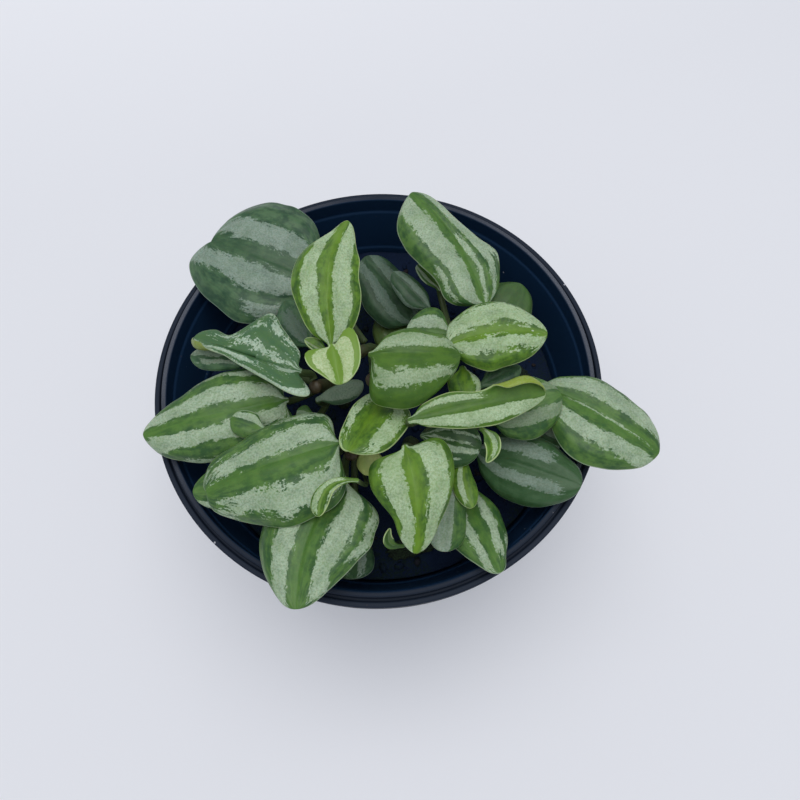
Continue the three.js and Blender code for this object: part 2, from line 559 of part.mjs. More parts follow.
function named(name, finish, geometry) {
  const [color, roughness] = FINISH[finish];
  const mesh = new THREE.Mesh(geometry, new THREE.MeshStandardMaterial({ color, roughness }));
  mesh.name = name;
  return mesh;
}

const plant = new THREE.Group();
plant.name = 'potted_peperomia';
plant.add(named('pot', 'plastic', potGeometry()));
plant.add(named('soil', 'soil', soilGeometry()));
for (const [name, bit] of Object.entries(LITTER)) plant.add(named(name, bit.finish, litterGeometry(bit)));
for (const [letter, stem] of Object.entries(STEMS)) {
  plant.add(named(`stem_${letter}`, 'stem', stemGeometry(stem)));
}
for (const row of LEAVES) {
  const leaf = { ...LEAF_DEFAULTS, ...row };
  plant.add(named(`leaf_${leaf.node}`, leaf.age, leafGeometry(leaf)));
}

export default plant;
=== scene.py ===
# %% [markdown]
# # A potted peperomia
# The looks of a small striped peperomia in a black nursery pot. The solid model is loaded first as a
# fixed frame, and each piece here is a finer surface that takes the place of one solid. Lengths are
# in millimetres, and turned into metres, Blender's unit, when a mesh is made.

# %% Load the frame
import itertools
import math

import bpy
import numpy as np
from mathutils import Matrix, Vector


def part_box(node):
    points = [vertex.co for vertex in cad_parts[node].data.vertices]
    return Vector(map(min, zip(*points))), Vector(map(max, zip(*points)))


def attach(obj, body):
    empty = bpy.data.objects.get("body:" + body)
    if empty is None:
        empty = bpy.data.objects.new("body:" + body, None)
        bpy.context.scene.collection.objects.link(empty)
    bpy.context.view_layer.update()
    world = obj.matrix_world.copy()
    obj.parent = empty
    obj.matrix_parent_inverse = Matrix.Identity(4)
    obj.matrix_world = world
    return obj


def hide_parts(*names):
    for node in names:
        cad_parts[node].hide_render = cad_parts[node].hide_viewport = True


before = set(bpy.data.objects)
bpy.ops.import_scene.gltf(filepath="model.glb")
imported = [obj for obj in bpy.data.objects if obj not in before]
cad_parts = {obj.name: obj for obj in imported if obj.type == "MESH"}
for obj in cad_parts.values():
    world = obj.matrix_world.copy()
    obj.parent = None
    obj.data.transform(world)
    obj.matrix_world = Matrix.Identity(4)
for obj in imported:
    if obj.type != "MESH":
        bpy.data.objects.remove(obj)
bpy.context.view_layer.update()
MM = 0.001
pot_low, pot_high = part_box("pot")
soil_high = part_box("soil")[1]
print("nodes:", len(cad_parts), "pot height in mm:", round(pot_high.z / MM, 1))

# %% [markdown]
# ## The camera
# A phone held a little in front of the plant sees it from steeply above. It is a little to the right
# of the pot's axis, and turned by less than a degree about its own line of sight.

# %% Place the camera
CAMERA_PLACE = (5.7, -65.4, 238.8)
CAMERA_DOWN = 68.8
CAMERA_ROLL = -0.65
LENS = 27
SENSOR_WIDTH = 36
NEAREST = 10

camera_data = bpy.data.cameras.new("phone_view")
camera_data.lens = LENS
camera_data.sensor_width = SENSOR_WIDTH
camera_data.clip_start = NEAREST * MM
camera = bpy.data.objects.new("phone_view", camera_data)
camera.location = [value * MM for value in CAMERA_PLACE]
camera.rotation_mode = "ZYX"
camera.rotation_euler = (math.radians(90 - CAMERA_DOWN), 0, math.radians(CAMERA_ROLL))
bpy.context.collection.objects.link(camera)
bpy.context.scene.camera = camera
print("camera stands", round(CAMERA_PLACE[2]), "mm above the floor")

# %% [markdown]
# ## Shader maths as expressions
# A material is a tree of nodes, and wiring it up link by link hides the idea behind it. The class
# `Value` wraps one output socket, so that `1 - mask * 0.5` adds the two Math nodes that it needs. The
# class `Finish` is one material, and its `node` method adds any other kind of node.


# %% Wrap a socket
def operator(name):
    """A method for one operation of the Math node, on a Value and any others that it takes."""
    return lambda value, *others: value.math(name, value, *others)


class Value:
    """A number, colour or vector that varies over a surface: one output socket of a node."""

    __add__ = __radd__ = operator("ADD")
    __mul__ = __rmul__ = operator("MULTIPLY")
    __sub__ = operator("SUBTRACT")
    __abs__ = operator("ABSOLUTE")
    root = operator("SQRT")
    least = operator("MINIMUM")
    most = operator("MAXIMUM")

    def __init__(self, finish, socket):
        self.finish = finish
        self.socket = socket

    def math(self, operation, *inputs):
        return self.finish.node("ShaderNodeMath", {"operation": operation}, dict(enumerate(inputs)))

    def __rsub__(self, other):
        return self.math("SUBTRACT", other, self)

    def rise(self, low, high):
        """Goes smoothly from 0 where this value is low to 1 where it is high. High may be the lesser."""
        settings = {"interpolation_type": "SMOOTHSTEP"}
        return self.finish.node("ShaderNodeMapRange", settings, {0: self, 1: low, 2: high, 3: 0, 4: 1})


# %% Build a material
class Finish:
    """One material, built node by node."""

    def __init__(self, name):
        self.material = bpy.data.materials.new(name)
        self.material.use_nodes = True
        self.tree = self.material.node_tree
        self.tree.nodes.clear()

    def node(self, kind, settings, inputs, output=0):
        """A new node: first its settings, and then the value or the link of each socket."""
        made = self.tree.nodes.new(kind)
        for key, setting in settings.items():
            setattr(made, key, setting)
        for key, value in inputs.items():
            if isinstance(value, Value):
                self.tree.links.new(value.socket, made.inputs[key])
            else:
                made.inputs[key].default_value = value
        return Value(self, made.outputs[output])

    def vector(self, x, y, z):
        return self.node("ShaderNodeCombineXYZ", {}, {0: x, 1: y, 2: z})

    def parts(self, vector):
        """The three numbers of a vector."""
        split = self.node("ShaderNodeSeparateXYZ", {}, {0: vector}).socket.node
        return [Value(self, split.outputs[i]) for i in range(3)]

    def stretch(self, vector, factors):
        """A vector with each of its numbers times its own factor."""
        return self.node("ShaderNodeVectorMath", {"operation": "MULTIPLY"}, {0: vector, 1: factors})

    def place(self):
        """Object coordinates, in millimetres."""
        return self.stretch(self.node("ShaderNodeTexCoord", {}, {}, "Object"), [1 / MM] * 3)

    def attribute(self, name):
        """The values that a mesh keeps at its vertices under this name."""
        return self.node("ShaderNodeAttribute", {"attribute_name": name}, {}, "Fac")

    def noise(self, vector, scale, detail=2.0, rough=0.5):
        """Soft random values round 0.5. Scale is the number of lumps in a unit of the vector."""
        inputs = {"Vector": vector, "Scale": scale, "Detail": detail, "Roughness": rough}
        return self.node("ShaderNodeTexNoise", {}, inputs)

    def cells(self, vector, scale):
        """Distance to the nearest of many scattered points."""
        return self.node("ShaderNodeTexVoronoi", {}, {"Vector": vector, "Scale": scale}, "Distance")

    def blend(self, first, second, amount):
        """The first colour where the amount is 0, and the second where it is 1. A colour is a Value,
        or its linear shares of red, green and blue."""
        first, second = [(*each, 1) if isinstance(each, tuple) else each for each in (first, second)]
        return self.node("ShaderNodeMix", {"data_type": "RGBA"}, {0: amount, 6: first, 7: second}, 2)

    def bump(self, height, distance):
        """Normals for a surface whose height varies from 0 to 1 times a distance in millimetres."""
        return self.node("ShaderNodeBump", {}, {"Height": height, "Distance": distance * MM})

    def surface(self, **sockets):
        """Adds the shader and gives the finished material. A socket's name has underscores."""
        inputs = {key.replace("_", " "): value for key, value in sockets.items()}
        shader = self.node("ShaderNodeBsdfPrincipled", {}, inputs)
        output = self.tree.nodes.new("ShaderNodeOutputMaterial")
        self.tree.links.new(shader.socket, output.inputs["Surface"])
        return self.material


# %% [markdown]
# ## From arrays to meshes
# Nearly every piece of a plant is a tube: a stack of closed rings with a point at each end. A stem is
# a round one, and a leaf is one that flattens. So one function turns an array of rings into a closed
# mesh, and the pieces below only work out where their rings lie. Values kept at the vertices, such as
# the place along a leaf, go into attributes that the materials read.


# %% Make a closed tube
def tube_faces(rows, sides, first=0):
    """Faces of a tube whose points are numbered: start, row after row, end."""
    column = np.arange(sides)
    following = (column + 1) % sides
    row = np.arange(rows - 1)[:, None] * sides
    low, low_next = row + column, row + following
    quads = np.stack([low, low_next, low_next + sides, low + sides], axis=-1).reshape(-1, 4) + 1
    last = rows * sides + 1
    start_fan = np.stack([np.zeros_like(column), following + 1, column + 1], axis=-1)
    tail = last - sides
    end_fan = np.stack([tail + column, tail + following, np.full_like(column, last)], axis=-1)
    return quads + first, np.concatenate([start_fan, end_fan]) + first


def round_rings(points, right, up, radius, angle):
    """Rings round a line of points: point + right r cos a + up r sin a."""
    x, y = (radius * np.cos(angle))[..., None], (radius * np.sin(angle))[..., None]
    return points[:, None] + right[:, None] * x + up[:, None] * y


def ring_angles(sides):
    """Angles of a ring's points, evenly round from 0."""
    return np.arange(sides) / sides * 2 * np.pi


def tube_points(start, rings, end):
    """All points of a tube in one list, in millimetres."""
    return np.concatenate([[start], rings.reshape(-1, 3), [end]])


# %% Put a mesh in the scene
def make_piece(name, points, quads, triangles, attributes=None):
    """A smooth object from points in millimetres and two arrays of faces."""
    mesh = bpy.data.meshes.new(name)
    mesh.from_pydata(points * MM, [], quads.tolist() + triangles.tolist(), shade_flat=False)
    mesh.validate()
    for key, values in (attributes or {}).items():
        layer = mesh.attributes.new(key, "FLOAT", "POINT")
        layer.data.foreach_set("value", np.asarray(values, dtype=np.float32))
    piece = bpy.data.objects.new(name, mesh)
    bpy.context.collection.objects.link(piece)
    return piece


def tube_piece(name, start, rings, end, attributes=None):
    """A closed tube as a smooth object."""
    points = tube_points(start, rings, end)
    return make_piece(name, points, *tube_faces(*rings.shape[:2]), attributes)


def settle(piece, node, slot, material):
    """Gives a piece its material, and lets it stand for a node of the frame."""
    piece.data.materials.append(material)
    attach(piece, "root")
    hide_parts(node)


# %% [markdown]
# ## Directions and curves
# Stems, stalks and the rounded corners of the pot are all Bezier curves. A few corners steer such a
# curve: it starts at the first, ends at the last, and is pulled towards those between.


# %% Directions and curves
def unit(vectors):
    """Vectors over their lengths."""
    return vectors / np.linalg.norm(vectors, axis=-1, keepdims=True)


def square_to(vectors, along):
    """Vectors with their share along a direction taken away, at unit length."""
    return unit(vectors - (vectors * along).sum(-1, keepdims=True) * along)


def smooth(low, high, x):
    """3s^2 - 2s^3 of the place s of x between low and high."""
    s = np.clip((x - low) / (high - low), 0, 1)
    return s * s * (3 - 2 * s)


def bezier(corners, u):
    """Points and directions at u. A point is the sum of n + 1 corners, each times its share
    C(n, k) u^k (1 - u)^(n - k), and a direction is the same sum of the steps between corners."""
    corners = np.array(corners, float)
    u = np.atleast_1d(u)[:, None]

    def mix(parts):
        n = len(parts) - 1
        return sum(math.comb(n, k) * u**k * (1 - u) ** (n - k) * part for k, part in enumerate(parts))

    return mix(corners), unit(mix(np.diff(corners, axis=0)))


print("half way along a quarter turn:", np.round(bezier([(1, 0), (1, 1), (0, 1)], 0.5)[0], 3))

# %% [markdown]
# ## Random shapes that repeat
# Nothing on a plant is quite even. A table of random heights on a square grid, joined by smooth
# steps, gives gentle hills and hollows, and the same ones each time because the table has a seed.


# %% Smooth random hills
TABLE = 64


def hills(x, y, seed):
    """Smooth random heights from -1 to 1: a table of random numbers, one for each unit square's
    corner, mixed by 3s^2 - 2s^3 of the place s within the square."""
    table = np.random.default_rng(seed).uniform(-1, 1, (TABLE, TABLE))
    x, y = np.broadcast_arrays(np.asarray(x, float), np.asarray(y, float))
    column, row = np.floor(x).astype(int), np.floor(y).astype(int)
    u, v = smooth(0, 1, x - column), smooth(0, 1, y - row)
    left, right = column % TABLE, (column + 1) % TABLE
    low, high = row % TABLE, (row + 1) % TABLE
    bottom = table[low, left] * (1 - u) + table[low, right] * u
    top = table[high, left] * (1 - u) + table[high, right] * u
    return bottom * (1 - v) + top * v


def rough_hills(x, y, seed, layers=3):
    """Hills with smaller hills on them: each layer is half as high and half as wide as the last."""
    return sum(hills(x * 2**k, y * 2**k, seed + k) / 2**k for k in range(layers))


print("hills at three places:", np.round(hills([0.2, 1.7, 5.5], [0.4, 2.1, 9.3], 7), 3))

# %% [markdown]
# ## The pot
# Turning the pot's cross-section about the axis gives its whole thin shell. What shows is mostly the
# rim: a flat ring, a narrow groove, and a bead that hangs over the outside. Moulded corners are never
# sharp, so each one is replaced by a short arc, and two more points keep the flats flat when shaded.

# %% Cross-section of the pot
RIM_RADIUS = (pot_high.x - pot_low.x) / 2 / MM
POT_HEIGHT = pot_high.z / MM
BASE_RADIUS = 42.5
NECK_RADIUS = 58.0
POT_WALL = 1.3
POT_FLOOR = 1.8
MOUTH_RADIUS = 56.4
FACE_WIDTH = 1.3
GROOVE_WIDTH = 0.9
GROOVE_DEPTH = 2.6
BEAD_DROP = 1.5
SKIRT_DEPTH = 7.5
WEB = 2
CORNER_RADIUS = 0.45
CORNER_ROOM = 0.42
FLAT_MARGIN = 0.15
LEDGE_DEPTHS = (5, 19)
LEDGE_STEP = 0.5
POT_SIDES = 288


def wall_outside(height):
    """Outside radius of the wall: a straight line from the base to the neck."""
    return BASE_RADIUS + (NECK_RADIUS - BASE_RADIUS) * height / POT_HEIGHT


def wall_inside(height):
    """Inside radius of the wall. The wall is a step thicker below each ledge."""
    steps = sum(POT_HEIGHT - height > depth for depth in LEDGE_DEPTHS)
    return wall_outside(height) - POT_WALL + LEDGE_STEP * (1 - steps)


def rounded(corners, radius, steps=4):
    """A line with each corner cut back by a radius, and a Bezier curve between the two cuts. A point
    beyond each cut keeps the flat between two corners flat."""
    line = [corners[0]]
    for before, corner, after in zip(corners[:-2], corners[1:-1], corners[2:]):
        back, ahead = before - corner, after - corner
        cut = min(radius, min(np.linalg.norm(back), np.linalg.norm(ahead)) * CORNER_ROOM)
        a, b = corner + unit(back) * cut, corner + unit(ahead) * cut
        curve = bezier([a, corner, b], np.linspace(0, 1, steps))[0]
        line += [a + (a - corner) * FLAT_MARGIN, *curve, b + (b - corner) * FLAT_MARGIN]
    return np.array(line + [corners[-1]])


def pot_corners():
    """The cross-section's corners as radius and height, from the middle of the underside, up the
    outside, over the rim and down the inside to the middle of the floor."""
    top = POT_HEIGHT
    face_edge = MOUTH_RADIUS + FACE_WIDTH
    groove_edge = face_edge + GROOVE_WIDTH
    web = top - GROOVE_DEPTH - WEB
    skirt = RIM_RADIUS - POT_WALL
    outside = [
        (0, 0), (BASE_RADIUS - 1, 0), (wall_outside(1), 1), (wall_outside(web - 1), web - 1),
        (skirt, web), (skirt, top - SKIRT_DEPTH), (RIM_RADIUS, top - SKIRT_DEPTH),
        (RIM_RADIUS, top - BEAD_DROP), (groove_edge, top - BEAD_DROP),
    ]
    rim = [
        (groove_edge, top - GROOVE_DEPTH), (face_edge, top - GROOVE_DEPTH), (face_edge, top),
        (MOUTH_RADIUS, top),
    ]
    inside = []
    for depth in LEDGE_DEPTHS:
        inside.append((wall_inside(top - depth + 0.01), top - depth))
        inside.append((wall_inside(top - depth - 0.01), top - depth - LEDGE_STEP))
    inside += [(wall_inside(POT_FLOOR), POT_FLOOR), (0, POT_FLOOR)]
    return [np.array(corner, float) for corner in outside + rim + inside]


pot_profile = rounded(pot_corners(), CORNER_RADIUS)
print("points in the pot's cross-section:", len(pot_profile))

# %% [markdown]
# A Boolean modifier cuts a ring of drain holes into the floor with round pegs, and the cut mesh is
# kept as the piece itself.


# %% Turn the pot and cut its drain holes
DRAIN_HOLES = 8
DRAIN_RADIUS = 3.4
DRAIN_RING = 31
PEG_SIDES = 32


def turned(profile, sides):
    """Rings round the Z axis: each point (r, z) of a profile becomes (r cos a, r sin a, z)."""
    angle = ring_angles(sides)
    x = profile[:, 0, None] * np.cos(angle)
    y = profile[:, 0, None] * np.sin(angle)
    return np.stack([x, y, np.broadcast_to(profile[:, 1, None], x.shape)], axis=-1)


def drain_pegs():
    """Round pegs through the floor, in one mesh."""
    points, quads, triangles = [], [], []
    profile = np.array([[DRAIN_RADIUS, -POT_FLOOR], [DRAIN_RADIUS, 2 * POT_FLOOR]])
    for k, angle in enumerate(ring_angles(DRAIN_HOLES) + math.pi / DRAIN_HOLES):
        shift = DRAIN_RING * np.array([math.cos(angle), math.sin(angle), 0])
        rings = turned(profile, PEG_SIDES) + shift
        peg = tube_points(shift + [0, 0, -POT_FLOOR], rings, shift + [0, 0, 2 * POT_FLOOR])
        four, three = tube_faces(2, PEG_SIDES, k * len(peg))
        points.append(peg)
        quads.append(four)
        triangles.append(three)
    return make_piece("pegs", np.concatenate(points), np.concatenate(quads), np.concatenate(triangles))


pot_rings = turned(pot_profile[1:-1], POT_SIDES)
pot = tube_piece("nursery_pot", [0, 0, 0], pot_rings, [0, 0, POT_FLOOR])
pegs = drain_pegs()
cut = pot.modifiers.new("drain_holes", "BOOLEAN")
cut.operation = "DIFFERENCE"
cut.solver = "EXACT"
cut.object = pegs
bpy.context.view_layer.update()
drained = bpy.data.meshes.new_from_object(pot.evaluated_get(bpy.context.evaluated_depsgraph_get()))
pot.modifiers.clear()
pot.data = drained
bpy.data.objects.remove(pegs)
print("faces in the pot:", len(pot.data.polygons))

# %% [markdown]
# Black plastic is never quite black: it reflects softly, and dust clings to it. Its rim's face is
# paler towards the left, right and far side: partly scuffs, and partly a painted reflection of the
# light. The dust is a scatter of small cells, kept where a slower noise says that dust has settled.


# %% Finish of the plastic
def plastic_finish():
    """Black plastic, painted navy where the radius is less than the mouth's: inside, and also on the
    tapered wall outside. The navy is painted shade, the blue cast of the shaded inside. The rim's face is
    paler at the left, right and far side, partly scuffs and partly a painted reflection, and dust and
    chalk lie in places."""
    finish = Finish("nursery_plastic")
    place = finish.place()
    x, y, height = finish.parts(place)
    radius = (x * x + y * y).root()
    cloudy = finish.noise(place, 0.06, 3)
    grain = finish.noise(place, 1.6, 2)
    fine = finish.noise(place, 5.0, 2, 0.7)
    inside_shade = radius.rise(MOUTH_RADIUS + 0.4, MOUTH_RADIUS - 0.1)
    face_middle = MOUTH_RADIUS + FACE_WIDTH / 2
    face = abs(radius - face_middle).rise(FACE_WIDTH / 2 + 0.1, FACE_WIDTH / 2 - 0.3)
    face = face * height.rise(POT_HEIGHT - 0.8, POT_HEIGHT - 0.2)
    outer = (1 - inside_shade) * (0.75 + 0.25 * fine)
    # Painted shade: the navy stands in for the blue cast of the shaded inside; the plastic itself is
    # black.
    shell = finish.blend((0.0085, 0.0310, 0.0780), (0.015, 0.020, 0.031), outer)
    # Painted reflection: the face is paler towards the left, right and far side, where it catches the
    # light, and fine noise breaks it up as scuffs.
    reflection_and_wear = (abs(x) * 0.016 + y * 0.006 + cloudy * 0.5).rise(0.55, 1.45)
    scuff_and_reflection = face * reflection_and_wear * (fine.rise(0.35, 0.70) * 0.7 + 0.3)
    rim_with_reflection = finish.blend(shell, (0.17, 0.18, 0.21), scuff_and_reflection)
    specks = finish.cells(place, 0.42).rise(0.13, 0.05)
    settled = finish.noise(place, 0.09, 2).rise(0.52, 0.68)
    dust = specks * settled
    dusty = finish.blend(rim_with_reflection, (0.085, 0.062, 0.058), dust * 0.7)
    chalk = finish.cells(place, 0.16).rise(0.050, 0.035)
    dusty = finish.blend(dusty, (0.50, 0.50, 0.54), chalk * 0.8)
    return finish.surface(
        Base_Color=dusty,
        Roughness=0.46 + cloudy * 0.16 + dust * 0.3,
        Normal=finish.bump(grain * 0.6 + fine * 0.4, 0.03),
        IOR=1.49, Specular_IOR_Level=0.14,
    )


settle(pot, "pot", "pot_plastic", plastic_finish())

# %% [markdown]
# ## The soil
# Damp peat is nearly black, with moss starting where it stays wet. The bed's height is the solid's
# own slow swell plus small hills. Each crumb on it is a lump of twenty faces, turned and squashed at
# random, and all of them are one mesh with the bed.

# %% Height of the soil
SOIL_LEVEL = 71
SOIL_SWELL = 0.9
HILL_HEIGHT = 0.55
GAP = 0.3


def soil_height(x, y):
    """The level plus a slow swell: sin(x/8 + 1) cos(y/9) + sin((x - y)/13) / 2, scaled so that
    SOIL_SWELL is the most it can be."""
    swells = np.sin(x / 8 + 1) * np.cos(y / 9) + 0.5 * np.sin((x - y) / 13)
    return SOIL_LEVEL + SOIL_SWELL * swells / 1.5


def crumbly_height(x, y):
    """The soil's height with hills of four sizes, the largest 4 mm apart."""
    return soil_height(x, y) + HILL_HEIGHT * rough_hills(x / 4, y / 4, 11, 4)


def foot_height(x, y, reach):
    """Height of a foot with this radius that stands a gap above the soil."""
    around = np.arange(8) * np.pi / 4
    under = soil_height(x + reach * np.cos(around), y + reach * np.sin(around))
    return max(under.max(), soil_height(x, y)) + GAP


# %% The bed and its crumbs
BED_RINGS = 120
BED_SIDES = 330
CRUMBS = 900


def bed_rings():
    """Rings of the bed, from the bottom of the pot up the wall and in to the middle."""
    angle = ring_angles(BED_SIDES)
    bottom = POT_FLOOR + GAP
    edge = soil_high.x / MM - 0.02
    foot_radius = wall_inside(bottom) - GAP - 0.1
    share = np.linspace(1, 1 / BED_RINGS, BED_RINGS)
    radius = np.concatenate([[foot_radius], edge * share])[:, None]
    x, y = radius * np.cos(angle), radius * np.sin(angle)
    z = crumbly_height(x, y)
    z[0] = bottom
    return np.stack([x, y, z], axis=-1), bottom


def crumbs(count, seed):
    """Small lumps: the twelve corners of an icosahedron, each moved a little, then scaled, turned
    about Z and set down on the bed."""
    rng = np.random.default_rng(seed)
    golden = (1 + math.sqrt(5)) / 2
    corners = [(0, a, b) for a in (-1, 1) for b in (-golden, golden)]
    corners += [(b, 0, a) for _, a, b in corners] + [(a, b, 0) for _, a, b in corners]
    corners = np.array(corners, float) / np.linalg.norm(corners[0])
    spread = np.linalg.norm(corners[:, None] - corners[None], axis=-1)
    side = spread[spread > 0.1].min() * 1.05
    faces = np.array([
        (i, j, k) for i, j, k in itertools.combinations(range(12), 3)
        if max(spread[i, j], spread[j, k], spread[i, k]) < side
    ])
    first, second, third = corners[faces.T]
    inward = (np.cross(second - first, third - first) * first).sum(1) < 0
    faces[inward] = faces[inward][:, ::-1]

    radius = np.sqrt(rng.uniform(0, 1, count)) * (soil_high.x / MM - 2.5)
    around = rng.uniform(0, 2 * np.pi, count)
    x, y = radius * np.cos(around), radius * np.sin(around)
    size = 0.35 + 1.1 * rng.uniform(0, 1, count) ** 4
    lumps = corners[None] * rng.uniform(0.75, 1.2, (count, 12, 1))
    squash = rng.uniform([0.7, 0.7, 0.4], [1.5, 1.1, 0.8], (count, 3))[:, None]
    lumps = lumps * size[:, None, None] * squash
    turn = rng.uniform(0, 2 * np.pi, count)
    cos, sin = np.cos(turn)[:, None], np.sin(turn)[:, None]
    turned_x = lumps[..., 0] * cos - lumps[..., 1] * sin
    turned_y = lumps[..., 0] * sin + lumps[..., 1] * cos
    lift = crumbly_height(x, y) + 0.15 * size
    places = [turned_x + x[:, None], turned_y + y[:, None], lumps[..., 2] + lift[:, None]]
    all_faces = (faces[None] + 12 * np.arange(count)[:, None, None]).reshape(-1, 3)
    tone = np.repeat(rng.uniform(0, 1, count), 12)
    return np.stack(places, axis=-1).reshape(-1, 3), all_faces, tone


def soil_piece():
    """The bed and its crumbs in one mesh. The attribute `tone` is 0 on the bed and differs from
    crumb to crumb."""
    rings, bottom = bed_rings()
    bed = tube_points([0, 0, bottom], rings, [0, 0, crumbly_height(0.0, 0.0)])
    quads, triangles = tube_faces(len(rings), BED_SIDES)
    lumps, faces, tone = crumbs(CRUMBS, 21)
    points = np.concatenate([bed, lumps])
    triangles = np.concatenate([triangles, faces + len(bed)])
    tones = np.concatenate([np.zeros(len(bed)), 0.15 + tone])
    return make_piece("potting_soil", points, quads, triangles, {"tone": tones})


soil = soil_piece()
print("faces in the soil:", len(soil.data.polygons))


# %% Finish of the soil
def soil_finish():
    """Nearly black, with some brown crumbs, and moss where a slow noise and two wet sides allow it."""
    finish = Finish("damp_soil")
    place = finish.place()
    tone = finish.attribute("tone")
    fine = finish.noise(place, 1.3, 4, 0.65)
    patches = finish.noise(place, 0.045, 2)
    x, y, _ = finish.parts(place)
    front = (y + 0.2 * x).rise(-30, -44)
    right = (x - 0.1 * y).rise(33, 43)
    moss = (patches + front * 0.12 + right * 0.12).rise(0.52, 0.62) * fine.rise(0.4, 0.6)
    dark = finish.blend((0.0015, 0.0095, 0.0400), (0.0050, 0.0160, 0.0420), fine)
    chips = finish.blend(dark, (0.030, 0.022, 0.018), tone.rise(0.85, 1.15) * 0.8)
    green = finish.blend(chips, (0.006, 0.018, 0.010), moss * 0.7)
    return finish.surface(
        Base_Color=green,
        Roughness=0.75 + fine * 0.2,
        Normal=finish.bump(fine, 0.35), Specular_IOR_Level=0.25,
    )


settle(soil, "soil", "potting_soil", soil_finish())

# %% [markdown]
# ## Bark and moss
# Chips of bark and cushions of moss are low domes with an uneven outline. A chip's sides are split
# along its grain, and a cushion is covered with small tufts.

# %% Shape of a lump
# node: kind, centre, length and width, height, and degrees that it is turned
LITTER = {
    "bark_1": ("bark", (-43, -14), (6, 4), 2.2, 20),
    "bark_2": ("bark", (-33, -32), (7, 4.5), 2.0, 70),
    "bark_3": ("bark", (43, 17), (7, 4), 2.4, -35),
    "moss_1": ("moss", (41, 6), (9, 7), 1.8, 10),
    "moss_2": ("moss", (8, -44), (14, 5), 1.6, 8),
}
LUMP_ROWS = 26
LUMP_SIDES = 64
CROWN_RISE = 0.05


def lump_rings(kind, centre, size, height, turn, seed):
    """Rings of a dome from its foot, over its shoulder, to its crown. The radius is a share of the
    size times 1 + 0.12 sin(3a + turn), and hills roughen it."""
    x, y = centre
    foot = foot_height(x, y, size[0] / 2)
    rise = np.linspace(-0.35, 1, LUMP_ROWS)[1:-1, None] * np.pi / 2
    share = np.cos(rise)
    lift = np.maximum(np.sin(rise), 0)
    angle = ring_angles(LUMP_SIDES)
    uneven = 1 + 0.12 * np.sin(3 * angle + turn)
    cos, sin = np.cos(angle) * share, np.sin(angle) * share
    if kind == "bark":
        rough = 0.10 * rough_hills(6 * cos, 1.5 * sin + 3 * lift, seed)
    else:
        rough = 0.13 * rough_hills(9 * cos, 9 * sin, seed)
    along = size[0] / 2 * cos * (uneven + rough)
    across = size[1] / 2 * sin * (uneven + rough)
    spin = math.radians(turn)
    return np.stack([
        x + along * math.cos(spin) - across * math.sin(spin),
        y + along * math.sin(spin) + across * math.cos(spin),
        foot + height * np.clip(lift * (1 + rough), 0, 1.05),
    ], axis=-1)


# %% Finishes of bark and moss
def litter_finish(name, grain, dark, light, roughness, depth):
    """Dark and light grains of one noise, which also sets how high they stand. The grain's numbers
    are the noise's scale, detail and roughness."""
    finish = Finish(name)
    grains = finish.noise(finish.place(), *grain)
    tint = finish.blend(dark, light, grains.rise(0.35, 0.7))
    return finish.surface(Base_Color=tint, Roughness=roughness, Normal=finish.bump(grains, depth))


litter_finishes = {
    "bark": litter_finish(
        "bark_chip", (0.9, 4, 0.7), (0.010, 0.008, 0.007), (0.060, 0.036, 0.024), 0.85, 0.3),
    "moss": litter_finish(
        "young_moss", (2.2, 3, 0.6), (0.004, 0.009, 0.006), (0.022, 0.050, 0.018), 0.95, 0.5),
}
for seed, (node, (kind, centre, size, height, turn)) in enumerate(LITTER.items()):
    rings = lump_rings(kind, centre, size, height, turn, 40 + seed)
    bottom, top = rings[0].mean(axis=0), rings[-1].mean(axis=0) + [0, 0, CROWN_RISE]
    lump = tube_piece("lying_" + node, bottom, rings, top)
    settle(lump, node, kind, litter_finishes[kind])
print("bits on the soil:", len(LITTER))

# %% [markdown]
# ## The stems
# Each short fleshy stem bends outwards along a quadratic Bezier curve, and its rings swell a little
# at the nodes, where leaf stalks leave it.

# %% Lines of the stems
# letter: foot on the soil, top, and radius
STEMS = {
    "a": ((0, 11), (-6.5, -1.5, 103), 1.7),
    "b": ((-11, -1), (-16, -8, 100), 1.9),
    "c": ((-7, -14), (-6, -26, 100), 1.9),
    "d": ((0, 1), (-1, -9, 106), 1.9),
    "e": ((16, -5), (21, -15, 98), 1.9),
    "f": ((8, -16), (11, -27.5, 99), 1.9),
    "g": ((17, 8), (24, 3, 97), 1.9),
    "h": ((10, 14), (10, 12, 84), 1.6),
}
STEM_TAPER = (1.12, 0.88)
STEM_SHOULDER = 0.96
STEM_TURN = 0.6


def stem_line(letter, u):
    """Points and directions of a stem at u. It is steered by its foot, a turn above that, and its top."""
    (x, y), top, radius = STEMS[letter]
    foot = foot_height(x, y, radius)
    return bezier([(x, y, foot), (x, y, foot + (top[2] - foot) * STEM_TURN), top], u)


# %% Make the stems
STEM_ROWS = 70
STEM_SIDES = 28
STEM_SLIM = 0.94
STEM_SWELL = 0.10
SWELL_REACH = 0.035
RIBS = 5
RIB_HEIGHT = 0.02


def stem_radius(letter, u):
    """Radius at u, thick at the foot and slim at the top."""
    low, high = STEM_TAPER
    return STEMS[letter][2] * (low + (high - low) * u)


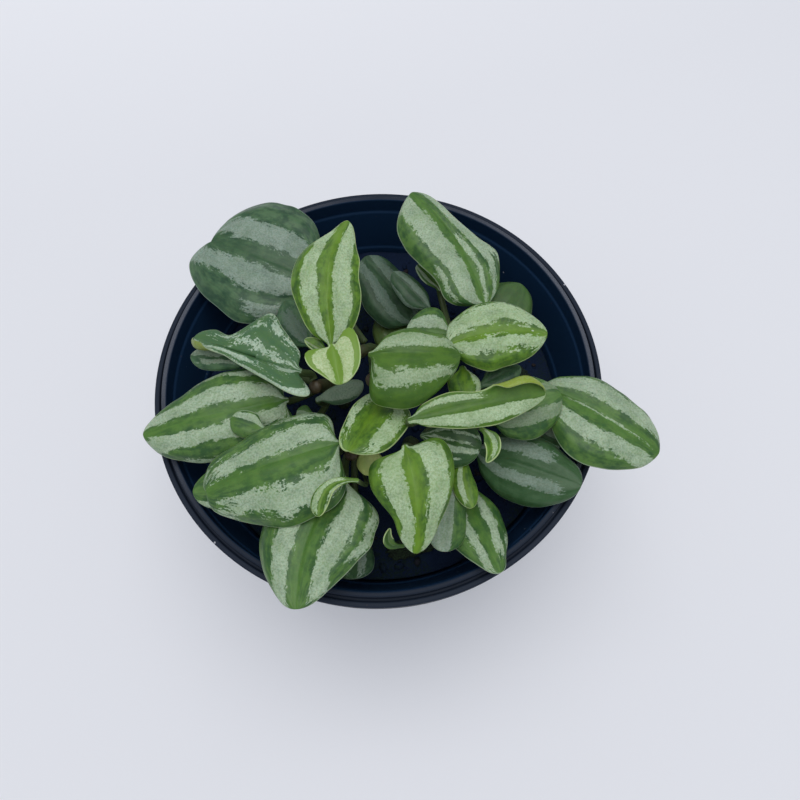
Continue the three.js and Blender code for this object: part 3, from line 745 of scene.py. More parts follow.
def stem_piece(letter, joins):
    """A tube whose radius swells by a tenth round each node where a stalk leaves it, and whose crown
    is the quarter circle sqrt(1 - s^2) of the place s above the shoulder."""
    u = np.linspace(0, 1, STEM_ROWS)[:-1]
    points, along = stem_line(letter, u)
    along[0] = (0, 0, 1)
    right = square_to(np.array([[1.0, 0, 0]]), along)
    up = np.cross(along, right)
    swell = sum(np.exp(-(((u - join) / SWELL_REACH) ** 2)) for join in joins)
    crown = np.sqrt(np.clip(1 - ((u - STEM_SHOULDER) / (1 - STEM_SHOULDER)).clip(0) ** 2, 0, 1))
    radius = stem_radius(letter, u) * (STEM_SLIM + STEM_SWELL * np.clip(swell, 0, 1)) * crown
    angle = ring_angles(STEM_SIDES)
    ribs = 1 + RIB_HEIGHT * np.sin(RIBS * angle)
    rings = round_rings(points, right, up, radius[:, None] * ribs, angle)
    tip = stem_line(letter, 1)[0][0]
    rise = np.concatenate([[0], np.repeat(u, STEM_SIDES), [1]])
    return tube_piece("fleshy_stem_" + letter, points[0], rings, tip, {"rise": rise})


def stem_finish():
    """Streaked green that turns red towards the top."""
    finish = Finish("fleshy_stem")
    place = finish.place()
    rise = finish.attribute("rise")
    cloudy = finish.noise(place, 0.25, 3)
    streaks = finish.noise(finish.stretch(place, (1.6, 1.6, 0.2)), 1.0, 3)
    green = finish.blend((0.040, 0.062, 0.022), (0.075, 0.105, 0.036), streaks)
    red = (rise + cloudy * 0.6).rise(0.95, 1.3) * 0.75
    tint = finish.blend(green, (0.070, 0.036, 0.020), red)
    return finish.surface(
        Base_Color=tint, Roughness=0.38 + streaks * 0.15, Normal=finish.bump(streaks, 0.06),
        Subsurface_Weight=0.08, Subsurface_Scale=0.5 * MM,
    )


print("the highest stem ends at", max(top[2] for _, top, _ in STEMS.values()), "mm")

# %% [markdown]
# ## The leaves
# A leaf is one closed tube: a round stalk that flattens into the blade. Its silver bands run along
# the nerves, so they are written as shares of the half width: a band from 0.25 to 0.7 lies on the
# right half and keeps that place from the base to the tip.

# %% Table of the leaves
# A row starts with these seven, the last of which a symmetric leaf leaves out:
#   node, age    the node's first letter names its stem, and the age chooses its colours
#   joins        how far up that stem its stalk leaves it, 0 at the soil and 1 at the top
#   base, tip    the two ends of the blade's chord
#   left, right  how far each half reaches from the midrib at the five STATIONS along it
# It then names those in which it isn't like COMMON. Shares are of its length:
#   ends         1 where the base and the tip are round, and less where they are pointed
#   lobe, fore   shares by which its left and right corners reach past the stalk, and past the tip
#   arch, bend   shares by which the midrib bows out of the chord, and to its right
#   hook         how far that second bow leans to the tip
#   roll         degrees that its right edge turns down
#   curl         degrees that the edges curl up at base and tip, for both halves or for each
#   valley       degrees that the halves rise beside the midrib and fall again at their edges
#   turns        rolled edges: which half, from t to t, from which share of the half, degrees up
#   wave         height of the edge's ripple in millimetres
#   bands, torn  from and to across the half, then start and stop along it, and how ragged they are
#   tint, silver, stalk   its own dark green, silver and colour of the stalk. In a5, b5, e4, e5, h1 and
#                         h2, low under the others, and in e1 the darker tint or silver is painted shade
COMMON = dict(
    ends=(1, 1), lobe=(0, 0), fore=(0, 0), arch=0.03, bend=0, hook=0, roll=0, curl=(-32, -34),
    valley=27, turns=(), wave=0.5, bands=[(0.24, 0.66), (-0.66, -0.24)], torn=1,
    tint=None, silver=None, stalk=(0.060, 0.090, 0.030),
)


def row(node, age, joins, base, tip, left, right=None, **own):
    """One leaf as a dictionary, with one curl and one valley for each half."""
    leaf = COMMON | own | dict(node=node, age=age, joins=joins, base=base, tip=tip)
    if len(leaf["curl"]) == 2:
        leaf["curl"] *= 2
    if isinstance(leaf["valley"], int):
        leaf["valley"] = (leaf["valley"], leaf["valley"])
    return leaf | dict(left=left, right=right or left)


LEAVES = [
    row("a1", "young", 0.93, (-11, 0.8, 105.6), (-7, 33, 112), (4.5, 7.6, 9.3, 7.4, 2.1),
        (5.4, 8.3, 8.1, 7.3, 4.2), arch=0.05, bend=-0.09, hook=0.5, curl=(0, -20, 5, 0), valley=26,
        bands=[(-0.72, -0.28), (0.17, 0.74)], stalk=(0.42, 0.52, 0.17)),
    row("a2", "young", 0.98, (-9.6, -4.6, 115.6), (-7.6, -13.4, 114.6), (4.6, 6.2, 6, 5, 3),
        (5.6, 6.6, 5.6, 3.6, 1.8), lobe=(1, 0.3), curl=(20, 10), valley=34, turns=[(-1, -1, 0, 0.7, 50),
        (1, -1, 0, 0.7, 50)], wave=0.25, bands=[(-0.74, -0.24), (0.26, 0.74, -1, 0.9)],
        tint=(0.17, 0.3, 0.035), silver=(0.55, 0.66, 0.38)),
    row("a3", "young", 0.82, (-12.5, 0.5, 103), (-18, 3.5, 104), (1, 1.6, 1.7, 1.5, 0.9), curl=(30, 30),
        bands=[(-0.6, -0.1)], silver=(0.3, 0.38, 0.22)),
    row("a4", "old", 0.6, (-14, 25, 93), (-47.4, 38.9, 96), (9, 15.5, 18.4, 16.8, 10),
        (8.6, 16, 18, 17.6, 12), fore=(0.19, 0.03), arch=0.09, roll=-8, curl=(-14, -16), valley=16,
        wave=0.4, bands=[(0.2, 0.54), (-0.5, -0.14), (-0.9, -0.7, 0.05, 0.5)]),
    # a5: its dark silver is painted shade, as it lies low under other leaves.
    row("a5", "old", 0.75, (-17, 4, 99), (-25, 18, 98), (3.5, 5.6, 6, 5.2, 3.2), roll=-10,
        bands=[(-0.5, 0.1, 0.1, 0.85)], torn=1.6, silver=(0.1, 0.15, 0.11)),
    row("b1", "mature", 0.97, (-18.6, -6.5, 107), (-46, 5, 103), (6.9, 5.5, 3.3, 2, 2.9),
        (5.3, 9.6, 12.8, 4, 3.8), lobe=(0.3, 0.04), bend=-0.02, curl=(60, -8, -8, -10), valley=(48, 20),
        turns=[(-1, 0.7, 0.84, 0.3, 185)], bands=[(-0.66, -0.3, 0.3, 0.97), (0.7, 0.98, 0.08, 0.46),
        (0.5, 0.84, 0.62, 0.78), (0.36, 0.56, 0.54, 0.68), (0.16, 0.3, 0.4, 0.56), (0.12, 0.26, -1, 0.2),
        (0.42, 0.54, -1, 0.22), (-0.34, -0.12, -1, 0.22), (-1.1, -0.86, 0, 0.85)], torn=2,
        tint=(0.062, 0.145, 0.062), silver=(0.48, 0.6, 0.46)),
    row("b3", "mature", 0.8, (-23, -11, 99), (-58, -19, 97), (7, 10.2, 11.2, 10.1, 6.3),
        (7.2, 11.2, 10.5, 7.7, 4.6), lobe=(0.12, 0.1), arch=0.08, roll=-8, bands=[(0.2, 0.58),
        (-0.62, -0.22), (0.8, 0.93, -1, 0.62), (-0.84, -0.7, -1, 0.3), (-1.02, -0.9, 0.2, 0.8)]),
    row("b4", "old", 0.85, (-32, -0.5, 101), (-48, 1.5, 99), (2, 3, 3.4, 3.3, 2.4), (2.5, 4, 4.5, 4, 2.5),
        roll=-8, bands=[(0.1, 0.75), (-0.5, -0.2, 0.3, 0.8)], torn=1.8, silver=(0.24, 0.31, 0.22)),
    # b5: its dark tint and silver are painted shade, as it lies low under other leaves.
    row("b5", "old", 0.7, (-14.6, -10.8, 99), (-3.5, -6.7, 99.4), (1.2, 1.9, 2.2, 2.2, 1.6),
        (1.6, 2.8, 3.2, 3, 2), bands=[(-1.1, 0.75)], torn=1.4, tint=(0.04, 0.085, 0.04),
        silver=(0.16, 0.22, 0.15)),
    row("b6", "mature", 0.6, (-16.3, -14.2, 96), (-20.3, -13.4, 97.2), (1.7, 2.6, 2.7, 2.4, 1.5),
        bands=[(-0.7, 0.2)], torn=1.8, silver=(0.26, 0.34, 0.24)),
    row("c1", "mature", 0.97, (-8.5, -25.2, 108), (-38.7, -34.9, 103), (10, 13.8, 14.1, 11, 6),
        (8.4, 10, 10, 8.2, 6), lobe=(0.07, 0.1), fore=(0.07, 0.09), arch=0.09, curl=(-30, -34, -28, -30),
        bands=[(0.18, 0.62, -1, 0.93), (-0.8, -0.42, -1, 0.86), (0.84, 0.95, -1, 0.4)], torn=2),
    row("c2", "mature", 0.85, (-8, -31.5, 101), (-17, -60.5, 103), (10.6, 13.2, 12.5, 10.2, 6),
        (7, 11.2, 12, 10.4, 5.9), lobe=(0.045, 0), arch=0.05, bend=0.08, roll=8, curl=(-26, -26),
        bands=[(0.23, 0.6), (-0.72, -0.32, -1, 0.93), (-0.96, -0.86, 0.05, 0.6),
        (0.88, 0.99, 0.15, 0.5)]),
    row("c3", "young", 0.38, (-4, -34, 109.2), (-12, -42, 109.8), (0.6, 1.2, 1.7, 2.2, 1.8),
        (0.6, 1.1, 1.5, 2, 1.7), ends=(0.6, 1), bend=0.28, curl=(40, 60, 10, -60), valley=(10, 30),
        bands=[(0.2, 0.8, 0.2, 1), (-0.9, -0.6)], torn=2),
    row("c4", "old", 0.3, (-7, -40.6, 79), (-6, -53, 86), (3, 4.6, 5, 4.8, 3.4),
        bands=[(0.1, 0.4, 0.3, 0.9), (-0.6, -0.25, 0.3, 0.9)], torn=1.6),
    row("c5", "mature", 0.75, (-17, -29, 94.9), (-44.6, -33.2, 95.5), (5, 8, 8.4, 7.4, 4.5), roll=-8,
        wave=1.2, bands=[(-0.7, -0.4)]),
    row("c6", "mature", 0.85, (-27, -20, 103), (-35, -17, 102.6), (2, 3, 3.2, 2.9, 2),
        curl=(-30, -60, 20, 10), bands=[(0.3, 0.8)]),
    row("c7", "young", 0.88, (-0.7, -24, 100.5), (-2.9, -29.9, 97.7), (2.7, 3.4, 3.6, 3.4, 2.4),
        (2.6, 3.3, 3.5, 3.4, 2.5), curl=(-50, -60), valley=0, bands=[], tint=(0.5, 0.58, 0.2)),
    row("d1", "young", 0.98, (-0.5, -6.2, 115), (19.6, -5.6, 113), (4.6, 7.2, 7.6, 6.4, 5.3),
        (9, 12, 11, 8.6, 4.4), lobe=(0.02, 0.18), arch=0.12, bend=0.04, curl=(-36, -36, -40, -50),
        valley=26, turns=[(1, 0.55, 0.95, 0.72, -60)], bands=[(-0.66, -0.2), (0.38, 0.7, 0.05, 1),
        (-1.1, -0.9, -1, 0.3)], torn=1.4, tint=(0.05, 0.125, 0.014), silver=(0.35, 0.46, 0.28)),
    row("d2", "young", 0.95, (2.8, -11, 102.4), (-5.9, -27.6, 110), (5.4, 8.2, 8.8, 8.2, 5.6),
        (3.2, 4.7, 4.9, 4.4, 3), fore=(0, 0.05), curl=(20, 5), bands=[(0.5, 0.92, 0.1, 0.85),
        (-0.82, -0.46, 0.1, 0.93)], torn=3),
    # e1: its darker tint is painted shade, the shade of its deep valley.
    row("e1", "young", 0.97, (8.2, -20.8, 111), (39.2, -14.2, 110), (2.9, 4.3, 3.2, 3.4, 3.6),
        (2.3, 4.2, 5, 4.6, 2.6), curl=(20, 30, -10, -25), valley=(24, 18),
        turns=[(-1, 0.5, 0.72, 0.3, 170)], bands=[(0.2, 0.85), (-0.8, -0.45, -1, 0.5)],
        tint=(0.058, 0.14, 0.016)),
    row("e2", "mature", 0.8, (41, -7.5, 97), (68.7, -25.2, 97), (6.6, 10.6, 11.4, 10.4, 7),
        (5, 10.5, 12.5, 11.2, 6.9), arch=0.07, roll=-8, curl=(-24, -24, -26, -26), bands=[(-0.74, -0.28),
        (0.3, 0.66), (-0.03, 0.03, 0.25, 0.9)]),
    row("e3", "mature", 0.95, (27, -16.5, 100.3), (45, -11.5, 102.5), (4.5, 6.9, 7.3, 6.6, 4.4),
        (4.9, 7.7, 8.1, 7.3, 4.9), roll=6, bands=[(-0.62, -0.25), (0.25, 0.65)],
        silver=(0.24, 0.32, 0.2)),
    # e4: its dark tint and silver are painted shade, as it lies low under other leaves.
    row("e4", "old", 0.7, (25, -22, 90.3), (49, -33, 96.9), (5, 8.2, 8.4, 7.1, 5),
        (4.7, 8.4, 9.3, 8.3, 4.8), roll=10, bands=[(-0.72, -0.3, -1, 0.7), (0.2, 0.52, -1, 0.86)],
        tint=(0.03, 0.085, 0.026), silver=(0.2, 0.27, 0.21)),
    # e5: its dark tint is painted shade, as it lies under e1.
    row("e5", "mature", 0.9, (11.5, -20.6, 99), (25, -24.2, 100.8), (3, 4.8, 5.2, 4.9, 3.4),
        (3.8, 6.1, 6.5, 5.8, 3.7), roll=8, curl=(-30, -30, -40, -40), bands=[(-0.55, -0.38),
        (-0.12, 0.02, -1, 0.8), (0.22, 0.4), (0.6, 0.7, -1, 0.7)], tint=(0.03, 0.085, 0.026)),
    row("e6", "young", 0.97, (24.4, -21.8, 107.5), (25.2, -29.4, 106), (1.3, 1.9, 1.9, 1.6, 0.9),
        bend=-0.26, curl=(30, 40), valley=10, bands=[(-0.6, 0, 0.1, 0.9)], torn=1.6),
    row("e7", "old", 0.9, (26.5, -7, 98), (36.5, -2.5, 99), (1.9, 3.1, 3.2, 2.8, 1.7), bands=[]),
    row("e8", "young", 0.95, (21.6, -3.6, 100.5), (22.1, -12.4, 101.6), (2.9, 4, 4.1, 3.9, 2.8),
        bands=[(-1, -0.55)], torn=1.6),
    row("e9", "old", 0.6, (37, -16, 90), (47, -21, 91), (2.7, 4.2, 4.5, 3.9, 2.4)),
    row("f1", "young", 0.98, (6.8, -28.2, 113.5), (8.6, -49.6, 108), (7.4, 9.3, 7.3, 4.8, 2.9),
        (7.4, 9.4, 7.8, 4.6, 2.9), lobe=(0.2, 0.12), arch=0.1, bend=-0.05, curl=(-30, -40), valley=36,
        turns=[(1, 0.2, 0.8, 0.7, -40)], bands=[(-0.85, -0.35), (0.18, 0.68)], torn=1.3),
    row("f2", "young", 0.34, (6, -47.4, 102.6), (3.2, -43.6, 103.6), (0.8, 1.25, 1.35, 1.1, 0.6),
        bend=-0.42, curl=(30, 30), bands=[], tint=(0.035, 0.09, 0.02)),
    row("f3", "mature", 0.73, (17.7, -28, 95), (15, -48, 96.8), (3, 5, 5.2, 5.2, 4),
        (3.9, 5.4, 5.2, 4.4, 3), roll=-6, bands=[(-0.35, 1.05)], silver=(0.3, 0.38, 0.29)),
    row("f4", "mature", 0.56, (20, -30, 87), (28, -53, 96.9), (4.5, 7.4, 7.5, 5.9, 3), (4, 7, 7.6, 6, 3),
        roll=-8, bands=[(-0.62, -0.26, -1, 0.86), (0.2, 0.56, 0.25, 0.97), (-0.98, -0.78, 0.66, 0.95)]),
    row("f5", "young", 0.84, (21.4, -25.8, 96.6), (22.5, -38.2, 97.9), (1.2, 2, 2.7, 2.7, 1.9),
        (1.4, 2.4, 2.8, 2.5, 1.6), bend=0.09, bands=[(0.1, 0.55, 0.05, 0.9)]),
    row("g1", "young", 0.97, (17, 0, 106), (42, 2.4, 107), (5.6, 8.5, 9.6, 8.3, 4.1),
        (5.3, 8.6, 8.7, 7.6, 5.1), bend=-0.08, curl=(-26, -28, -26, -34), valley=24, bands=[(-0.85, -0.2),
        (0.14, 0.6)], torn=2.2),
    row("g2", "mature", 0.85, (29, 16, 97), (9.4, 46.8, 106), (8.2, 9.9, 11.5, 11.9, 8.6),
        (6.5, 10.4, 7.4, 4.8, 3.8), arch=0.06, bend=0.05, roll=10, curl=(-24, -28, -28, -30),
        turns=[(1, 0.1, 0.35, 0.6, 40)], bands=[(-0.66, -0.2), (0.42, 0.95, 0.3, 1),
        (0.12, 0.26, -1, 0.5), (0.5, 0.7, -1, 0.5), (-0.9, -0.76, 0.12, 0.4)]),
    row("g3", "mature", 0.8, (31.6, 15, 86.7), (41.2, 29.2, 87.5), (5, 8, 9, 9, 6),
        (4.8, 7.1, 7.5, 6.7, 4.5), roll=-10, bands=[], tint=(0.06, 0.12, 0.04)),
    row("g4", "mature", 0.9, (19.5, 8, 97), (7.5, 9.5, 96), (3.1, 4.9, 5.2, 4.5, 2.8),
        (4.6, 7.3, 7.7, 6.8, 4.2), roll=-8, bands=[(0.15, 0.62)]),
    row("g5", "mature", 0.7, (17, 24, 94), (11, 31, 95), (1.7, 2.6, 2.8, 2.4, 1.5),
        curl=(50, 60, 30, 40)),
    # h1 and h2: their dark tints and silvers are painted shade, as they lie low under the other leaves.
    row("h1", "old", 0.8, (10, 18, 84), (-4, 36, 92), (6, 8.6, 8.8, 7.4, 5), (6, 8, 8.5, 7.8, 5.6),
        roll=12, bands=[(0.2, 0.55), (-0.62, -0.25)], tint=(0.022, 0.06, 0.026),
        silver=(0.13, 0.19, 0.145)),
    row("h2", "old", 0.95, (14, 18, 93), (4, 28, 96), (2.2, 3.5, 3.7, 3.3, 2.2), bands=[(0.15, 0.6),
        (-1, -0.75)], tint=(0.022, 0.06, 0.026), silver=(0.15, 0.21, 0.16)),
    row("h3", "old", 0.6, (5.2, 10.9, 80.6), (1.6, 23, 83.1), (3.5, 5.4, 5.6, 5, 3.2), bands=[],
        tint=(0.085, 0.13, 0.025)),
]
print("leaves:", len(LEAVES))

# %% [markdown]
# The blade is worked out on a grid: t runs along the midrib from 0 to 1, and v runs across from -1 at
# the left edge to 1 at the right edge. The midrib is the chord with two bows. At each t the blade has
# the directions along, right and face, and each half is a curve in the plane of the last two.

# %% Midrib and outline
Z_AXIS = np.array([0.0, 0.0, 1.0])
SHOULDER = 0.09
STATIONS = np.array([0.1, 0.3, 0.5, 0.7, 0.9])


def leaf_axes(leaf):
    """Length, chord direction, face direction and right-hand direction of a blade."""
    chord = np.subtract(leaf["tip"], leaf["base"]).astype(float)
    length = np.linalg.norm(chord)
    along = chord / length
    up = square_to(Z_AXIS, along)
    turn = math.radians(leaf["roll"])
    face = up * math.cos(turn) + np.cross(along, up) * math.sin(turn)
    return length, along, face, np.cross(along, face)


def breadth(leaf):
    """Width of a blade half way along it."""
    return leaf["left"][2] + leaf["right"][2]


def midrib(leaf, t):
    """Base + along L t + (face arch + right bend (1 + hook (2t - 1))) L 4t(1 - t)."""
    length, along, face, right = leaf_axes(leaf)
    t = np.atleast_1d(np.asarray(t, float))[:, None]
    bow = 4 * t * (1 - t) * length
    sideways = leaf["bend"] * (1 + leaf["hook"] * (2 * t - 1))
    return leaf["base"] + along * length * t + face * leaf["arch"] * bow + right * sideways * bow


def sections(leaf, t):
    """Centre, and the directions along, face and right, of the cross-section at each t."""
    step = 0.005
    along = unit(midrib(leaf, t + step) - midrib(leaf, t - step))
    face = square_to(leaf_axes(leaf)[2], along)
    return midrib(leaf, t), along, face, np.cross(along, face)


def half_width(leaf, t, hand):
    """Half width of one half at t: its widths at the stations, each divided by sqrt(t (1 - t)), are
    joined by a smooth curve through them all, and that is multiplied by sqrt(t (1 - t)) again. So
    both ends are round, and an end value under 1 makes that end more pointed."""
    widths = np.array(leaf["left"] if hand < 0 else leaf["right"], float)
    ratio = widths / np.sqrt(STATIONS * (1 - STATIONS))
    ratio = np.concatenate([[ratio[0] * leaf["ends"][0]], ratio, [ratio[-1] * leaf["ends"][1]]])
    knots = np.concatenate([[0], STATIONS, [1]])
    slope = np.gradient(ratio, knots)
    slot = np.clip(np.searchsorted(knots, t, side="right") - 1, 0, len(knots) - 2)
    gap = knots[slot + 1] - knots[slot]
    s = (t - knots[slot]) / gap
    ahead, rise = smooth(0, 1, s), s * (1 - s) * gap
    curve = ratio[slot] * (1 - ahead) + ratio[slot + 1] * ahead
    curve = curve + rise * (slope[slot] * (1 - s) - slope[slot + 1] * s)
    return np.clip(curve, 0.02, None) * np.sqrt(np.clip(t * (1 - t), 0, None))


def bump(x):
    """A hump that starts steeply at 0, is 1 at x = 1 and is gone by 5: with y = x^0.75, it is
    sqrt(y) e^((1 - y^2) / 4)."""
    y = np.clip(x, 0, None) ** 0.75
    return np.sqrt(y) * np.exp((1 - y**2) / 4)


def slide(leaf, t, v):
    """How far a point of the blade lies forward of its place on the midrib. The shoulders reach back
    by lobe L bump(t / shoulder) |v|^1.5, and the corners at the tip reach forward in the same way."""
    lobe = np.where(v < 0, *leaf["lobe"])
    fore = np.where(v < 0, *leaf["fore"])
    reach = fore * bump((1 - t) / SHOULDER) - lobe * bump(t / SHOULDER)
    return reach * leaf_axes(leaf)[0] * np.abs(v) ** 1.5


# %% [markdown]
# Seen from its tip, a blade is a wide letter M: each half rises beside the midrib, rounds over and
# falls to its edge, and some edges roll further. So a half is drawn like a road from its headings:
# adding up many short steps in those headings gives the curve, and it keeps its length.

# %% Curve of each half
SLICES = 40
VALLEY_FADE = 0.6


def heading(leaf, t, share, hand):
    """Angle, in radians, by which a half heads up from the leaf's plane at a share of its width: its
    curl times the share, plus valley (1 - 2 share), which is weaker near the tip, plus its rolls."""
    curl = leaf["curl"][:2] if hand < 0 else leaf["curl"][2:]
    degrees = (curl[0] + (curl[1] - curl[0]) * t) * share
    degrees = degrees + leaf["valley"][hand > 0] * (1 - 2 * share) * (1 - VALLEY_FADE * t**4)
    for side, start, stop, inner, turn in leaf["turns"]:
        if side == hand:
            degrees = degrees + turn * smooth(start, stop, t) * smooth(inner, 1, share)
    return np.radians(degrees)


def half_curves(leaf, t, v):
    """Distance out, lift, heading and stripe place at each t and v, for a half that reaches one unit
    outwards. The stripe place grows from 0 at the midrib to 1 at the edge by each slice's width as
    seen from above the leaf."""
    share = np.linspace(0, 1, SLICES + 1)[None]
    place = np.abs(v) * SLICES
    slot = np.minimum(place.astype(int), SLICES - 1)
    part = place - slot
    out, lift, angle, stripe = [], [], [], []
    for hand in (-1, 1):
        middle = heading(leaf, t[:, None], (share[:, 1:] + share[:, :-1]) / 2, hand)
        start = np.zeros((len(t), 1))
        outward = np.concatenate([start, np.cumsum(np.cos(middle), axis=1)], axis=1)
        upward = np.concatenate([start, np.cumsum(np.sin(middle), axis=1)], axis=1)
        seen = np.concatenate([start, np.cumsum(np.abs(np.cos(middle)), axis=1)], axis=1)
        reach = outward.max(axis=1)[:, None]
        width = seen[:, -1:]
        for sums, whole, found in ((outward, reach, out), (upward, reach, lift), (seen, width, stripe)):
            found.append((sums[:, slot] * (1 - part) + sums[:, slot + 1] * part) / whole)
        angle.append(heading(leaf, t[:, None], np.abs(v)[None], hand))
    return [np.where(v < 0, left, right) for left, right in (out, lift, angle, stripe)]


# %% [markdown]
# A real blade sinks along the midrib and bulges between the nerves, its edge ripples, and its outline
# wanders. Each of these is a small height or share that is added to the plain curve.

# %% Quilting, ripples and the surface of the blade
BLADE_THICKNESS = 0.6
QUILT = 0.035
NERVES = 5.2
GROOVE_SINK = 0.30
GROOVE_REACH = 0.6
KEEL = 0.45
KEEL_REACH = 0.8
WOBBLE = 0.03


def relief(leaf, t, v, half, seed):
    """How far the sheet is lifted at t and v: a groove along the midrib, a swell QUILT of the half
    width high between nerves that are 2 / NERVES of it apart, and hills that grow towards the edge.
    All of it fades where the blade is narrow."""
    length = leaf_axes(leaf)[0]
    room = np.clip(half / 5, 0, 1)
    across = v * half
    groove = -GROOVE_SINK * np.exp(-((across / GROOVE_REACH) ** 2)) * (1 - t) ** 0.5
    swell = QUILT * half * (np.cos(NERVES * np.pi * v) * 0.5 + 0.5) * (1 - v**6)
    wander = hills(t * length / 9 + 5, across / 9 + 5, seed)
    ripple = hills(t * length / 4.5 + 9, np.sign(v) * 3 + 20, seed + 1) * np.abs(v) ** 4
    fine = hills(t * length / 1.8, across / 1.3 + 30, seed + 2)
    fade = np.clip(t / 0.08, 0, 1) * np.clip((1 - t) / 0.05, 0, 1)
    return room * fade * (groove + swell + leaf["wave"] * (0.5 * wander + 0.8 * ripple) + 0.05 * fine)


def blade(leaf, t, v, side, seed):
    """Points of the blade at each t and v. Side is 1 on top and -1 underneath. Each point is on the
    half's curve, moved square to it by half the thickness and by the relief. Underneath, the midrib
    stands out as a keel."""
    length = leaf_axes(leaf)[0]
    out, lift, angle, stripe = half_curves(leaf, t, v)
    centre, along, face, right = (part[:, None] for part in sections(leaf, t))
    t = t[:, None]
    hand = np.where(v < 0, -1, 1)
    wobble = 1 + WOBBLE * hills(t * length / 6 + 40, hand * 2 + 10, seed + 3)
    half = np.where(v < 0, half_width(leaf, t, -1), half_width(leaf, t, 1)) * wobble
    keel = KEEL * np.exp(-((v * half / KEEL_REACH) ** 2)) * (1 - t) * (side < 0)
    thick = min(BLADE_THICKNESS, 0.1 * breadth(leaf))
    raised = side * (thick / 2 + keel) * np.sqrt(np.clip(1 - v**8, 0, 1))
    raised = raised + relief(leaf, t, v, half, seed)
    out = half * out - raised * np.sin(angle)
    lift = half * lift + raised * np.cos(angle)
    points = centre + along * slide(leaf, t, v)[..., None]
    return points + right * (hand * out)[..., None] + face * lift[..., None], half, hand * stripe


# %% [markdown]
# The stalk leaves the side of its stem and arrives at the blade along the midrib, on a cubic Bezier
# curve. Where stalk and blade meet, the rings pass smoothly from a circle to the flat section.

# %% The stalk
STALK_RADIUS = 0.95
STALK_ROWS = 26
STALK_RISE = 2.0


def stalk_line(leaf, u):
    """Points and directions of the stalk at u: the cubic Bezier curve from the side of the stem,
    straight out of it, to the base of the blade, which it reaches from below and steeply."""
    letter = leaf["node"][0]
    root, up_stem = (part[0] for part in stem_line(letter, leaf["joins"]))
    base = np.array(leaf["base"], float)
    out = square_to(base - root, up_stem)
    start = root + out * (stem_radius(letter, leaf["joins"]) + GAP)
    reach = np.linalg.norm(base - start) / 3
    along, face = (part[0] for part in sections(leaf, np.array([0.01]))[1:3])
    corners = [start, start + out * reach, base - unit(along + face * STALK_RISE) * reach, base]
    return bezier(corners, u)


def stalk_rings(leaf, angle, radius):
    """Round rings up the stalk. Their face direction is carried down from the blade, and turns no
    more than the stalk does."""
    u = np.concatenate([[0.02], np.linspace(0.05, 1, STALK_ROWS - 1)])
    points, along = stalk_line(leaf, u)
    faces = np.empty_like(points)
    face = sections(leaf, np.array([0.01]))[2][0]
    for i in reversed(range(len(u))):
        face = square_to(face, along[i])
        faces[i] = face
    right = np.cross(along, faces)
    flare = radius * (1 + 0.12 * np.exp(-u / 0.08))[:, None]
    return round_rings(points, right, faces, flare, angle)


# %% One leaf
GRID = 0.42
MELT = 1.5
WIDE = 0.72
THICK_EDGE = 5.0


def leaf_piece(leaf, seed):
    """Stalk rings, then blade rings that turn from circles to the flat section within about MELT of
    the base. What the finish needs is kept at each point, such as its distance to the edge. From
    WIDE of the way on, the stripes draw together as the blade narrows."""
    length = leaf_axes(leaf)[0]
    rows = int(np.clip(length / GRID, 24, 96))
    columns = int(np.clip(breadth(leaf) / GRID, 14, 70))
    around = np.arange(2 * columns)
    angle = np.pi * (1 - around / columns)
    side = np.where(around < columns, 1, -1)
    v = np.cos(angle)
    t = (1 - np.cos(np.pi * np.arange(1, rows) / rows)) / 2
    flat, half, stripe = blade(leaf, t, v, side, seed)

    radius = min(STALK_RADIUS, breadth(leaf) * 0.16)
    centre, along, face, right = (part[:, None] for part in sections(leaf, t))
    melt = np.exp(-((t * length / MELT) ** 2))[:, None, None]
    lean = unit(along * (1 - melt) + stalk_line(leaf, [1.0])[1][0] * melt)
    tilted = unit(face - lean * np.sum(face * lean, axis=-1, keepdims=True))
    circle = centre + right * (radius * v)[:, None] + tilted * (radius * np.sin(angle))[:, None]
    rings = np.concatenate([stalk_rings(leaf, angle, radius), flat * (1 - melt) + circle * melt])

    stalk = len(rings) - len(t)
    place = np.concatenate([np.linspace(-1, -0.02, stalk), t])
    spread = np.concatenate([np.full((stalk, 2 * columns), radius), np.broadcast_to(half, flat.shape[:2])])
    plump = np.concatenate([np.full(stalk, 1.0), melt[:, 0, 0]])[:, None]
    edge = (1 - np.abs(v)) * spread + THICK_EDGE * plump
    broad = np.where(v < 0, half_width(leaf, WIDE, -1), half_width(leaf, WIDE, 1))
    narrowed = np.where(t[:, None] > WIDE, np.clip(half / broad, 0, 1) ** 0.7, 1)
    stripes = np.concatenate([np.broadcast_to(v, (stalk, 2 * columns)), stripe * narrowed])
    fields = {
        "along": ([-1], np.repeat(place, 2 * columns), [1]),
        "stripes": ([0], stripes.ravel(), [0]),
        "across": ([0], np.tile(v, len(rings)), [0]),
        "under": ([0], np.tile((side < 0) & (np.abs(v) < 0.999), len(rings)), [0]),
        "edge": ([THICK_EDGE], edge.ravel(), [0]),
    }
    fields = {key: np.concatenate(parts) for key, parts in fields.items()}
    start, end = stalk_line(leaf, [0.0])[0][0], midrib(leaf, 1.0)[0]
    return tube_piece("striped_leaf_" + leaf["node"], start, rings, end, fields)


# %% [markdown]
# ## The finish of a leaf
# The green is yellower in a young leaf, and lighter still beside a young leaf's midrib: a painted glow
# that stands in for light shining through the thin blade. Silver bands lie where air fills the skin, so
# they look powdered: pale, with a fine green grain and ragged edges that tear along the nerves. A
# band's field is positive inside it and negative outside, and noise that is added before the field is
# turned into a mask tears the edge.

